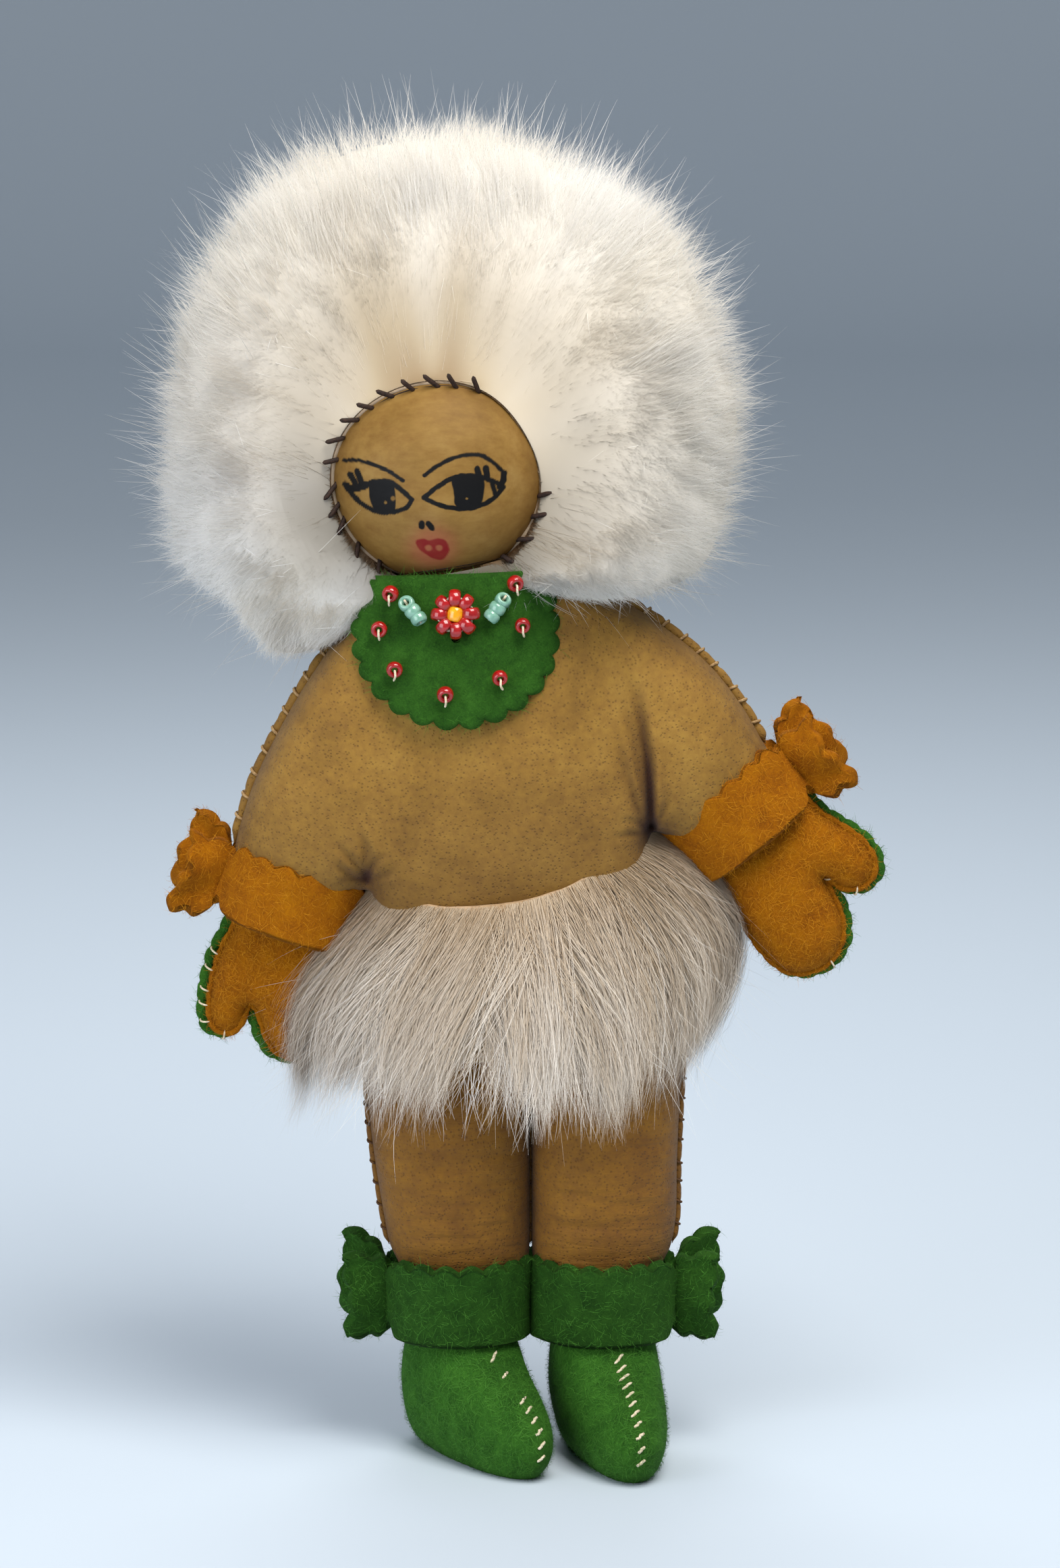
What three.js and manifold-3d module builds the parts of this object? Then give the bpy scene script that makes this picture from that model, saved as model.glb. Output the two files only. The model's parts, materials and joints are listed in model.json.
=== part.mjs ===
import * as THREE from 'three';
import { mergeVertices } from 'three/addons/utils/BufferGeometryUtils.js';
import Module from 'manifold-3d';

const wasm = await Module();
wasm.setup();

// A stuffed doll standing on flat boot soles, millimetres, +Z up, its face toward -Y.
// Its own left side is +X. The upper body leans toward -X about the hip creases.

// Materials and fits
const leatherThickness = 1.0;
const feltThickness = 1.3;
const sewnGap = 0.3;
const turningGap = 0.4;

// Stance
const hipHeight = 64;
const upperLean = 10;
const ankleHeight = 27;

// Body, heights measured up from the hip creases
const waistRise = 14;
const waistHalfWidth = 20;
const waistHalfDepth = 11.8;
const bellyRise = 24;
const bellyHalfWidth = 20.5;
const bellyHalfDepth = 12.6;
const chestRise = 42;
const chestHalfWidth = 19.6;
const chestHalfDepth = 11.0;
const shoulderRise = 53;
const shoulderHalfWidth = 17.2;
const shoulderHalfDepth = 8.4;
const neckRise = 57;
const neckHalfWidth = 12.5;
const neckHalfDepth = 6.8;
const pelvisClearance = 7;

// Neck plug and head
const plugRadius = 5.2;
const plugAboveNeck = 3.1;
const headHalfWidth = 14.6;
const headHalfDepth = 12;
const headHalfHeight = 14.8;
const headAbovePlug = 12.4;
const faceSeamDepth = 3.4;

// Fur hood
const hoodHalfWidth = 36.5;
const hoodHalfDepth = 22.5;
const hoodHalfHeight = 35.5;
const hoodLowerHeight = 38;
const hoodAside = 3;
const hoodBack = 8;
const hoodRaise = 7;
const hoodFaceFlare = 0.85;
const hoodSkirtSlope = 0.45;
const hoodSkirtRadius = 16;
const hoodShoulderClearance = 3.4;
const chinClearance = 3.8;
const chinClearanceDepth = 2.2;

// Arms
const armpitInset = 1;
const armpitRise = 21;
const armSpread = 29;
const creaseTilt = 10;
const armReach = 2.3;
const armLength = 31;
const wristHalfWidth = 8.2;
const wristHalfDepth = 6.3;
const armHalfWidth = 10.3;
const armHalfDepth = 8.4;
const shoulderBallRadius = 8.6;
const creaseDip = 2.5;
const creaseEndRadius = 2.2;
const ballNeckRise = 5.6;
const ballFullRise = 9.4;
const ballCrown = 1;

// Mittens
const handBend = 22;
const palmShift = 0.8;
const handLength = 13;
const handHalfWidth = 7.3;
const handHalfDepth = 5;
const thumbLength = 8.5;
const thumbHalfWidth = 4.1;
const thumbHalfDepth = 4;
const thumbOffset = 4;
const thumbDrop = 11.4;
const leftThumbSpread = 27;
const rightThumbSpread = -2;
const wristCuffHeight = 10;
const wristCuffEase = 0.8;
const cuffBodyGap = 0.6;

// Legs
const legTopHalfWidth = 10.6;
const legTopHalfDepth = 9;
const legSpacing = 11;
const ankleHalfWidth = 8.2;
const ankleHalfDepth = 8;
const ankleSpacing = 9.9;
const calfHalfWidth = 9.8;
const calfHalfDepth = 8.8;

// Boots
const bootHalfWidth = 8;
const bootFront = 24.5;
const bootBack = 10.5;
const toeHeight = 7.5;
const toeNarrowing = 0.3;
const leftToeTurn = 8;
const rightToeTurn = -16;
const bootCuffBottom = 16;
const bootCuffEase = 0.7;

// Cuff ends
const tabLength = 8;
const tabRootHeight = 5.5;
const tabTipHeight = 12.5;
const tabSplay = 24;
const tabStagger = 1.6;
const tabScallops = 3;

// Fur skirt
const skirtHemHeight = 45;
const skirtHalfWidth = 25.6;
const skirtHalfDepth = 16.8;
const skirtTopThickness = 1.4;
const skirtLegEase = 2.2;

// Bib and beads
const bibHalfWidth = 14.4;
const bibHalfHeight = 12.2;
const bibMiddleDrop = 9.9;
const bibAboveNeck = 2.6;
const bibTopDepth = 8.1;
const bibTurn = 8;
const bibSlope = 0.205;
const bibCurl = 2.4;
const bibScallops = 24;
const scallopDepth = 0.9;
const beadRadius = 1.1;
const beadHole = 0.35;
const beadLength = 1.5;
const flowerDrop = -6.2;
const leafStart = 4.7;
const leafSlant = 38;
const leafDrop = 0.7;
const singleBeadTip = 40;
const flatOnFelt = 90;
const beadSpacing = 0.1;

const leather = new THREE.MeshStandardMaterial({ color: 0xb58a4c, roughness: 0.75, name: 'leather' });
const legLeather = new THREE.MeshStandardMaterial({ color: 0xa06e32, roughness: 0.75, name: 'leg_leather' });
const fill = new THREE.MeshStandardMaterial({ color: 0xe8e2d4, roughness: 1, name: 'stuffing' });
const fur = new THREE.MeshStandardMaterial({ color: 0xece6da, roughness: 1, name: 'fur' });
const green = new THREE.MeshStandardMaterial({ color: 0x235f1e, roughness: 1, name: 'green_felt' });
const gold = new THREE.MeshStandardMaterial({ color: 0xcd820f, roughness: 1, name: 'gold_felt' });
const redGlass = new THREE.MeshStandardMaterial({ color: 0xbe0f14, roughness: 0.15, name: 'red_glass' });
const mintGlass = new THREE.MeshStandardMaterial({ color: 0x96c8b4, roughness: 0.15, name: 'mint_glass' });
const amberGlass = new THREE.MeshStandardMaterial({ color: 0xf0aa0a, roughness: 0.15, name: 'amber_glass' });

const big = 400;
const bodySides = 20;
const skinSides = 16;
const bootSides = 16;
const mittenSides = 12;
const fillSides = 10;
const rad = THREE.MathUtils.degToRad;

// Closed solids and cuts

function toSolid(geometry) {
  const bare = geometry.clone();
  bare.deleteAttribute('normal');
  bare.deleteAttribute('uv');
  const merged = mergeVertices(bare, 1e-5);
  return new wasm.Manifold(new wasm.Mesh({
    numProp: 3,
    vertProperties: new Float32Array(merged.attributes.position.array),
    triVerts: new Uint32Array(merged.index.array),
  }));
}

function toGeometry(solid) {
  const mesh = solid.getMesh();
  const geometry = new THREE.BufferGeometry();
  geometry.setAttribute('position', new THREE.BufferAttribute(new Float32Array(mesh.vertProperties), 3));
  geometry.setIndex(new THREE.BufferAttribute(new Uint32Array(mesh.triVerts), 1));
  geometry.computeVertexNormals();
  return geometry;
}

function cut(geometry, ...tools) {
  let solid = toSolid(geometry);
  for (const tool of tools) {
    solid = solid.subtract(toSolid(tool));
  }
  return toGeometry(solid);
}

function keep(geometry, region) {
  return toGeometry(toSolid(geometry).intersect(toSolid(region)));
}

function join(...pieces) {
  let solid = toSolid(pieces[0]);
  for (const piece of pieces.slice(1)) {
    solid = solid.add(toSolid(piece));
  }
  return toGeometry(solid);
}

function slab(minimum, maximum) {
  const box = new THREE.BoxGeometry(
    maximum[0] - minimum[0],
    maximum[1] - minimum[1],
    maximum[2] - minimum[2],
  );
  box.translate(
    (maximum[0] + minimum[0]) / 2,
    (maximum[1] + minimum[1]) / 2,
    (maximum[2] + minimum[2]) / 2,
  );
  return box;
}

const frontHalf = slab([-big, -big, -big], [big, -sewnGap / 2, big]);
const backHalf = slab([-big, sewnGap / 2, -big], [big, big, big]);

function moved(geometry, matrix) {
  return geometry.clone().applyMatrix4(matrix);
}

function mirrored(geometry) {
  const twin = geometry.clone().scale(-1, 1, 1);
  const order = twin.index.array;
  for (let corner = 0; corner < order.length; corner += 3) {
    const held = order[corner];
    order[corner] = order[corner + 1];
    order[corner + 1] = held;
  }
  return twin;
}

// A skin of rings, capped at both ends. Each ring is a list of points in the same sense.
function loft(rings) {
  const count = rings[0].length;
  const points = rings.flat();
  const order = [];
  for (let level = 0; level + 1 < rings.length; level += 1) {
    for (let step = 0; step < count; step += 1) {
      const next = (step + 1) % count;
      const a = level * count + step;
      const b = level * count + next;
      order.push(a, b, b + count);
      order.push(a, b + count, a + count);
    }
  }
  const middle = (ring) => ring.reduce((sum, p) => sum.add(p), new THREE.Vector3()).divideScalar(count);
  const first = points.length;
  points.push(middle(rings[0]), middle(rings[rings.length - 1]));
  const lastRing = (rings.length - 1) * count;
  for (let step = 0; step < count; step += 1) {
    const next = (step + 1) % count;
    order.push(first, next, step);
    order.push(first + 1, lastRing + step, lastRing + next);
  }
  let volume = 0;
  for (let corner = 0; corner < order.length; corner += 3) {
    const cross = points[order[corner + 1]].clone().cross(points[order[corner + 2]]);
    volume += points[order[corner]].dot(cross);
  }
  if (volume < 0) {
    order.reverse();
  }
  const geometry = new THREE.BufferGeometry().setFromPoints(points);
  geometry.setIndex(order);
  return geometry;
}

// An oval ring about a centre, with half-axes given as vectors.
function oval(centre, across, through, count) {
  const ring = [];
  for (let step = 0; step < count; step += 1) {
    const turn = (2 * Math.PI * step) / count;
    const point = centre.clone();
    point.addScaledVector(across, Math.cos(turn));
    point.addScaledVector(through, Math.sin(turn));
    ring.push(point);
  }
  return ring;
}

// Smooth curve through [position, value] stations.
function profile(stations) {
  return (at) => {
    const last = stations.length - 1;
    if (at <= stations[0][0]) {
      return stations[0][1];
    }
    if (at >= stations[last][0]) {
      return stations[last][1];
    }
    const index = stations.findIndex((station) => station[0] > at) - 1;
    const slope = (i) => {
      const low = stations[Math.max(i - 1, 0)];
      const high = stations[Math.min(i + 1, last)];
      return (high[1] - low[1]) / (high[0] - low[0]);
    };
    const [start, from] = stations[index];
    const [end, to] = stations[index + 1];
    const span = end - start;
    const t = (at - start) / span;
    const rise = t * t * (3 - 2 * t);
    const startPull = slope(index) * span * t * (1 - t) * (1 - t);
    const endPull = slope(index + 1) * span * t * t * (t - 1);
    return from + (to - from) * rise + startPull + endPull;
  };
}

function barAlongX(radius, centreZ) {
  const bar = new THREE.CylinderGeometry(radius, radius, 2 * big, 28);
  bar.rotateZ(Math.PI / 2);
  bar.translate(0, 0, centreZ);
  return bar;
}

// Depth of a rounded end: a half circle about the turning axis.
function roundedEnd(radius, distance) {
  return Math.sqrt(Math.max(radius * radius - distance * distance, 0.04));
}

const doll = new THREE.Group();
doll.name = 'fur_doll';
const upperBody = new THREE.Group();
upperBody.position.set(0, 0, hipHeight);
upperBody.rotation.y = -rad(upperLean);
doll.add(upperBody);
upperBody.updateMatrix();
const upperFromFloor = upperBody.matrix.clone().invert();

function addPiece(parent, name, geometry, material) {
  const mesh = new THREE.Mesh(geometry, material);
  mesh.name = name;
  parent.add(mesh);
  return mesh;
}

// Shoulder crease: a slanting line through the armpit, and the ball-ended arm that turns on it.

const outward = new THREE.Vector3(Math.cos(rad(armSpread)), 0, Math.sin(rad(armSpread)));
const downArm = new THREE.Vector3(Math.sin(rad(armSpread)), 0, -Math.cos(rad(armSpread)));
const towardBack = new THREE.Vector3(0, 1, 0);
const armpit = new THREE.Vector3(bellyHalfWidth - armpitInset, 0, armpitRise);
const wrist = armpit.clone();
wrist.addScaledVector(downArm, armReach);
wrist.addScaledVector(outward, wristHalfWidth + turningGap + feltThickness + cuffBodyGap);

const creaseFrame = new THREE.Matrix4().makeRotationY(rad(creaseTilt));
creaseFrame.setPosition(armpit);

function shoulderSocket(extra) {
  const reach = shoulderBallRadius + extra;
  const points = [
    new THREE.Vector2(0, -creaseDip - extra),
    new THREE.Vector2(creaseEndRadius + extra, -0.5 * creaseDip - extra),
    new THREE.Vector2(0.75 * reach, ballNeckRise),
    new THREE.Vector2(reach, ballFullRise),
    new THREE.Vector2(reach, 0.7 * armLength),
    new THREE.Vector2(0.72 * reach, 0.9 * armLength),
    new THREE.Vector2(0, armLength + ballCrown + extra),
  ];
  const socket = new THREE.LatheGeometry(points, 22);
  socket.rotateX(Math.PI / 2);
  return moved(socket, creaseFrame);
}

const outsideCrease = moved(slab([0, -big, -big], [big, big, big]), creaseFrame);

function armForm(inset, sides = skinSides) {
  const width = profile([
    [-wristHalfDepth, wristHalfWidth - 0.8],
    [0, wristHalfWidth],
    [0.22 * armLength, wristHalfWidth + 0.6 * (armHalfWidth - wristHalfWidth)],
    [0.48 * armLength, armHalfWidth],
    [0.74 * armLength, armHalfWidth],
    [0.9 * armLength, 0.95 * armHalfWidth],
    [armLength, 0.72 * armHalfWidth],
  ]);
  const depth = profile([
    [0, wristHalfDepth],
    [0.22 * armLength, wristHalfDepth + 0.5 * (armHalfDepth - wristHalfDepth)],
    [0.48 * armLength, armHalfDepth],
    [0.74 * armLength, armHalfDepth],
    [0.9 * armLength, 0.92 * armHalfDepth],
    [armLength, 0.66 * armHalfDepth],
  ]);
  const ends = [-0.98, -0.8, -0.45].map((share) => share * (wristHalfDepth - inset));
  const levels = [...ends, 0, ...[0.12, 0.28, 0.48, 0.68, 0.84, 0.94].map((share) => share * armLength)];
  levels.push(armLength - inset);
  const rings = levels.map((level) => {
    const centre = wrist.clone().addScaledVector(downArm, -level);
    const halfDepth = level < 0 ? roundedEnd(wristHalfDepth - inset, level) : depth(level) - inset;
    const across = outward.clone().multiplyScalar(width(level) - inset);
    const through = towardBack.clone().multiplyScalar(halfDepth);
    return oval(centre, across, through, sides);
  });
  return loft(rings);
}

function armRegion(inset, sides) {
  return keep(armForm(inset, sides), join(outsideCrease, shoulderSocket(0)));
}

// Body

const hipBar = (radius) => moved(barAlongX(radius, hipHeight), upperFromFloor);
const underPelvis = moved(
  slab([-big, -big, -big], [big, big, hipHeight + pelvisClearance]),
  upperFromFloor,
);
const aboveNeck = slab([-big, -big, neckRise], [big, big, big]);

const torsoWidth = profile([
  [0, 0.9 * waistHalfWidth],
  [waistRise, waistHalfWidth],
  [bellyRise, bellyHalfWidth],
  [chestRise, chestHalfWidth],
  [shoulderRise, shoulderHalfWidth],
  [neckRise, neckHalfWidth],
  [neckRise + 4, 0.5 * neckHalfWidth],
]);
const torsoDepth = profile([
  [0, 0.85 * waistHalfDepth],
  [waistRise, waistHalfDepth],
  [bellyRise, bellyHalfDepth],
  [chestRise, chestHalfDepth],
  [shoulderRise, shoulderHalfDepth],
  [neckRise, neckHalfDepth],
  [neckRise + 4, 0.6 * neckHalfDepth],
]);

function torsoForm(inset, sides = bodySides) {
  const levels = [-2, 6, waistRise, bellyRise - 3, bellyRise + 6, chestRise, chestRise + 6];
  levels.push(shoulderRise, 0.5 * (shoulderRise + neckRise), neckRise, neckRise + 4);
  const rings = levels.map((level) => oval(
    new THREE.Vector3(0, 0, level),
    new THREE.Vector3(torsoWidth(level) - inset, 0, 0),
    new THREE.Vector3(0, torsoDepth(level) - inset, 0),
    sides,
  ));
  return loft(rings);
}

// The neck plug is a ball half sunk in the top of the body.
function plugBall(extra) {
  const ball = new THREE.SphereGeometry(plugRadius + extra, 16, 10);
  ball.rotateX(Math.PI / 2);
  ball.translate(0, 0, neckRise);
  return ball;
}

const armCut = join(shoulderSocket(turningGap), keep(armForm(-turningGap), outsideCrease));
const torsoCuts = [
  plugBall(turningGap),
  hipBar(legTopHalfDepth + turningGap),
  underPelvis,
  aboveNeck,
  armCut,
  mirrored(armCut),
];
const torsoSkin = cut(torsoForm(0), torsoForm(leatherThickness), ...torsoCuts);
addPiece(upperBody, 'torso_front', keep(torsoSkin, frontHalf), leather);
addPiece(upperBody, 'torso_back', keep(torsoSkin, backHalf), leather);
addPiece(upperBody, 'torso_stuffing', cut(torsoForm(leatherThickness + sewnGap, fillSides), ...torsoCuts), fill);

// Neck plug and head

const plugTop = neckRise + plugAboveNeck;
const bibTopRise = neckRise + bibAboveNeck;
const abovePlug = slab([-big, -big, plugTop], [big, big, big]);
addPiece(upperBody, 'neck_stuffing', cut(plugBall(0), abovePlug), fill);

const headBottom = plugTop + sewnGap;
const headRise = headBottom + headAbovePlug;
const belowHead = slab([-big, -big, -big], [big, big, headBottom]);

function headForm(inset, sides = bodySides) {
  const ball = new THREE.SphereGeometry(1, sides, Math.round(0.65 * sides));
  ball.rotateX(Math.PI / 2);
  ball.scale(headHalfWidth - inset, headHalfDepth - inset, headHalfHeight - inset);
  ball.translate(0, 0, headRise);
  return ball;
}

const behindFaceSeam = slab([-big, -faceSeamDepth, -big], [big, big, big]);
const faceSkin = cut(headForm(0), headForm(leatherThickness), behindFaceSeam, belowHead);
addPiece(upperBody, 'face', faceSkin, leather);
const headFill = cut(headForm(leatherThickness + sewnGap, fillSides), belowHead);
addPiece(upperBody, 'head_stuffing', headFill, fill);

// Fur hood: a tousled ball round the head, fuller toward the doll's left, open at the face, its underside
// clearing the shoulders.

function hoodForm() {
  const ball = new THREE.SphereGeometry(1, 26, 16);
  ball.rotateX(Math.PI / 2);
  const place = ball.attributes.position;
  for (let index = 0; index < place.count; index += 1) {
    const point = new THREE.Vector3().fromBufferAttribute(place, index);
    const tuft = Math.sin(5 * point.x + 2 * point.z) * Math.cos(6 * point.z - 3 * point.y);
    point.multiplyScalar(1 + 0.025 * tuft);
    const tall = point.z < 0 ? hoodLowerHeight : hoodHalfHeight;
    place.setXYZ(index, hoodHalfWidth * point.x, hoodHalfDepth * point.y, tall * point.z);
  }
  ball.translate(hoodAside, hoodBack, headRise + hoodRaise);
  return ball;
}

function faceOpening() {
  const rimShare = Math.sqrt(1 - (faceSeamDepth / headHalfDepth) ** 2);
  const rings = [0, hoodHalfDepth].map((forward) => oval(
    new THREE.Vector3(0, -faceSeamDepth - forward, headRise),
    new THREE.Vector3(headHalfWidth * rimShare + sewnGap + hoodFaceFlare * forward, 0, 0),
    new THREE.Vector3(0, 0, headHalfHeight * rimShare + sewnGap + hoodFaceFlare * forward),
    24,
  ));
  return loft(rings);
}

function hoodUnderside() {
  const edge = shoulderRise + hoodShoulderClearance;
  const reach = 2 * hoodHalfWidth;
  const points = [
    new THREE.Vector2(0, -big),
    new THREE.Vector2(reach, -big),
    new THREE.Vector2(reach, edge - hoodSkirtSlope * (reach - hoodSkirtRadius)),
    new THREE.Vector2(hoodSkirtRadius, edge),
    new THREE.Vector2(0, edge + 0.25 * hoodSkirtRadius),
  ];
  const cone = new THREE.LatheGeometry(points, 26);
  cone.rotateX(Math.PI / 2);
  return cone;
}

const underChin = slab(
  [-big, -big, -big],
  [big, chinClearanceDepth - faceSeamDepth, bibTopRise + chinClearance],
);
const hoodCuts = [headForm(-sewnGap), faceOpening(), hoodUnderside(), belowHead, underChin];
const hood = cut(hoodForm(), ...hoodCuts);
addPiece(upperBody, 'fur_hood', hood, fur);

// Bib: scalloped felt hanging from its top edge under the chin, leaning on the chest.

const bibHang = new THREE.Group();
bibHang.position.set(0, -bibTopDepth, bibTopRise);
bibHang.rotation.y = rad(bibTurn);
upperBody.add(bibHang);

// How far the felt's back lies behind the hanging edge, at a place across and below that edge.
const bibDepthAt = (x, drop) => bibSlope * drop + bibCurl * (x / bibHalfWidth) ** 2;

function bibForm() {
  const around = bibScallops * 3;
  const layer = (offset, share) => {
    const ring = [];
    for (let step = 0; step < around; step += 1) {
      const turn = (2 * Math.PI * step) / around;
      const bite = scallopDepth * (1 - Math.abs(Math.sin((step * Math.PI) / 3)));
      const x = share * (bibHalfWidth - bite) * Math.cos(turn);
      const drop = -bibMiddleDrop + share * (bibHalfHeight - bite) * Math.sin(turn);
      const held = Math.min(drop, 0);
      ring.push(new THREE.Vector3(x, bibDepthAt(x, held) - offset, held));
    }
    return ring;
  };
  return loft([layer(0, 0.5), layer(0, 1), layer(feltThickness, 1), layer(feltThickness, 0.5)]);
}

addPiece(bibHang, 'bib', bibForm(), green);

// Glass beads, placed across and below the bib's top edge, each turned to lie along its stitch.

function beadForm() {
  const points = [
    new THREE.Vector2(beadHole, -0.3 * beadLength),
    new THREE.Vector2(0.62 * beadRadius, -0.5 * beadLength),
    new THREE.Vector2(beadRadius, -0.16 * beadLength),
    new THREE.Vector2(beadRadius, 0.16 * beadLength),
    new THREE.Vector2(0.62 * beadRadius, 0.5 * beadLength),
    new THREE.Vector2(beadHole, 0.3 * beadLength),
    new THREE.Vector2(beadHole, -0.3 * beadLength),
  ];
  return new THREE.LatheGeometry(points, 8);
}

function addBead(name, x, drop, turn, tip, material) {
  const bead = addPiece(bibHang, name, beadForm(), material);
  const lift = feltThickness + sewnGap + beadRadius;
  bead.position.set(x, bibDepthAt(x, drop) - lift, drop);
  bead.rotation.set(rad(tip), rad(turn), 0, 'YXZ');
}

const singles = [
  [-8.6, -3.3],
  [-10.3, -8],
  [-8.4, -13.3],
  [-1.7, -16.7],
  [5.7, -14.8],
  [9, -8.1],
  [8.2, -2.5],
];
singles.forEach(([x, drop], index) => addBead(`bib_bead_${index + 1}`, x, drop, 0, singleBeadTip, redGlass));
const petalRing = 2.1 * beadRadius + 0.05;
for (let petal = 0; petal < 8; petal += 1) {
  const turn = 45 * petal;
  const x = petalRing * Math.sin(rad(turn));
  const drop = flowerDrop + petalRing * Math.cos(rad(turn));
  addBead(`petal_bead_${petal + 1}`, x, drop, turn + flatOnFelt, flatOnFelt, redGlass);
}
addBead('flower_centre_bead', 0, flowerDrop, flatOnFelt, flatOnFelt, amberGlass);
for (let step = 0; step < 3; step += 1) {
  const run = step * (beadLength + beadSpacing);
  const x = leafStart + run * Math.sin(rad(leafSlant));
  const drop = flowerDrop - leafDrop + run * Math.cos(rad(leafSlant));
  addBead(`left_leaf_bead_${step + 1}`, x, drop, leafSlant, flatOnFelt, mintGlass);
  addBead(`right_leaf_bead_${step + 1}`, -x, drop, -leafSlant, flatOnFelt, mintGlass);
}

// Flat stuffed felt: a rounded bar from one point to another in the X-Z plane.
function pad(from, to, halfWidth, halfDepth, inset, sides) {
  const along = to.clone().sub(from).normalize();
  const side = new THREE.Vector3(-along.z, 0, along.x);
  const width = halfWidth - inset;
  const deep = halfDepth - inset;
  const length = to.clone().sub(from).length();
  const levels = [-0.97, -0.72, -0.35, 0].map((share) => share * width);
  levels.push(...[0, 0.35, 0.72, 0.97].map((share) => length + share * width));
  const rings = levels.map((level) => {
    const over = level < 0 ? -level : Math.max(level - length, 0);
    const round = roundedEnd(1, over / width);
    return oval(
      from.clone().addScaledVector(along, level),
      side.clone().multiplyScalar(width * round),
      new THREE.Vector3(0, deep * Math.sqrt(round), 0),
      sides,
    );
  });
  return loft(rings);
}

// A scalloped felt strip end, rooted at x = 0 and flaring toward +X.
function tabForm(flip) {
  const outline = new THREE.Shape();
  outline.moveTo(-0.8, -tabRootHeight / 2);
  outline.lineTo(tabLength, -tabTipHeight / 2);
  const pitch = tabTipHeight / tabScallops;
  for (let lobe = 0; lobe < tabScallops; lobe += 1) {
    const low = -tabTipHeight / 2 + lobe * pitch;
    outline.quadraticCurveTo(tabLength + 1.4, low + pitch / 2, tabLength, low + pitch);
  }
  outline.lineTo(-0.8, tabRootHeight / 2);
  outline.closePath();
  const tab = new THREE.ExtrudeGeometry(outline, {
    depth: feltThickness,
    bevelEnabled: false,
    curveSegments: 3,
  });
  tab.translate(0, 0, -feltThickness / 2);
  tab.rotateX(Math.PI / 2);
  tab.rotateZ(flip * rad(tabSplay));
  return tab;
}

// A felt strip round a limb, its two ends standing out together at +X.
function cuffForm(halfWidth, halfDepth, top, bottom, tabCentre) {
  const tube = (extra, low, high) => loft([low, high].map((level) => oval(
    new THREE.Vector3(0, 0, level),
    new THREE.Vector3(halfWidth + extra, 0, 0),
    new THREE.Vector3(0, halfDepth + extra, 0),
    26,
  )));
  const inside = tube(0, bottom - 1, top + 1);
  const outside = tube(feltThickness, bottom, top);
  const root = halfWidth + feltThickness;
  const front = tabForm(-1).translate(root, -0.2, tabCentre - tabStagger);
  const back = tabForm(1).translate(root, 0.2, tabCentre + tabStagger);
  return cut(join(outside, front, back), inside);
}

// Limbs of one side, built on the left; the right side is their mirror image.

function addArm(parent, side, thumbSpread) {
  const skin = cut(armRegion(0, skinSides), armForm(leatherThickness));
  addPiece(parent, `${side}_arm_front`, keep(skin, frontHalf), leather);
  addPiece(parent, `${side}_arm_back`, keep(skin, backHalf), leather);
  const inner = armRegion(leatherThickness + sewnGap, fillSides);
  addPiece(parent, `${side}_arm_stuffing`, inner, fill);

  const hand = new THREE.Group();
  hand.position.copy(wrist);
  hand.rotation.y = -rad(armSpread);
  parent.add(hand);

  const palm = new THREE.Vector3(palmShift, 0, -handHalfWidth);
  const fingers = new THREE.Vector3(-Math.sin(rad(handBend)), 0, -Math.cos(rad(handBend)));
  fingers.multiplyScalar(handLength).add(palm);
  const thumbRoot = new THREE.Vector3(thumbOffset, 0, -thumbDrop);
  const thumbTip = new THREE.Vector3(Math.sin(rad(thumbSpread)), 0, -Math.cos(rad(thumbSpread)));
  thumbTip.multiplyScalar(thumbLength).add(thumbRoot);
  const mitten = (inset, sides = mittenSides) => join(
    pad(palm, fingers, handHalfWidth, handHalfDepth, inset, sides),
    pad(thumbRoot, thumbTip, thumbHalfWidth, thumbHalfDepth, inset, sides),
  );
  const wristBar = barAlongX(wristHalfDepth + turningGap, 0);
  const mittenSkin = cut(mitten(0), mitten(feltThickness), wristBar);
  addPiece(hand, `${side}_mitten_front`, keep(mittenSkin, frontHalf), gold);
  addPiece(hand, `${side}_mitten_back`, keep(mittenSkin, backHalf), green);
  const mittenFill = cut(mitten(feltThickness + sewnGap, mittenSides - 4), wristBar);
  addPiece(hand, `${side}_mitten_stuffing`, mittenFill, fill);
  const cuff = cuffForm(
    wristHalfWidth + turningGap,
    wristHalfDepth + wristCuffEase,
    0,
    -wristCuffHeight,
    -0.25 * wristCuffHeight,
  );
  addPiece(hand, `${side}_mitten_cuff`, cuff, gold);
}

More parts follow.
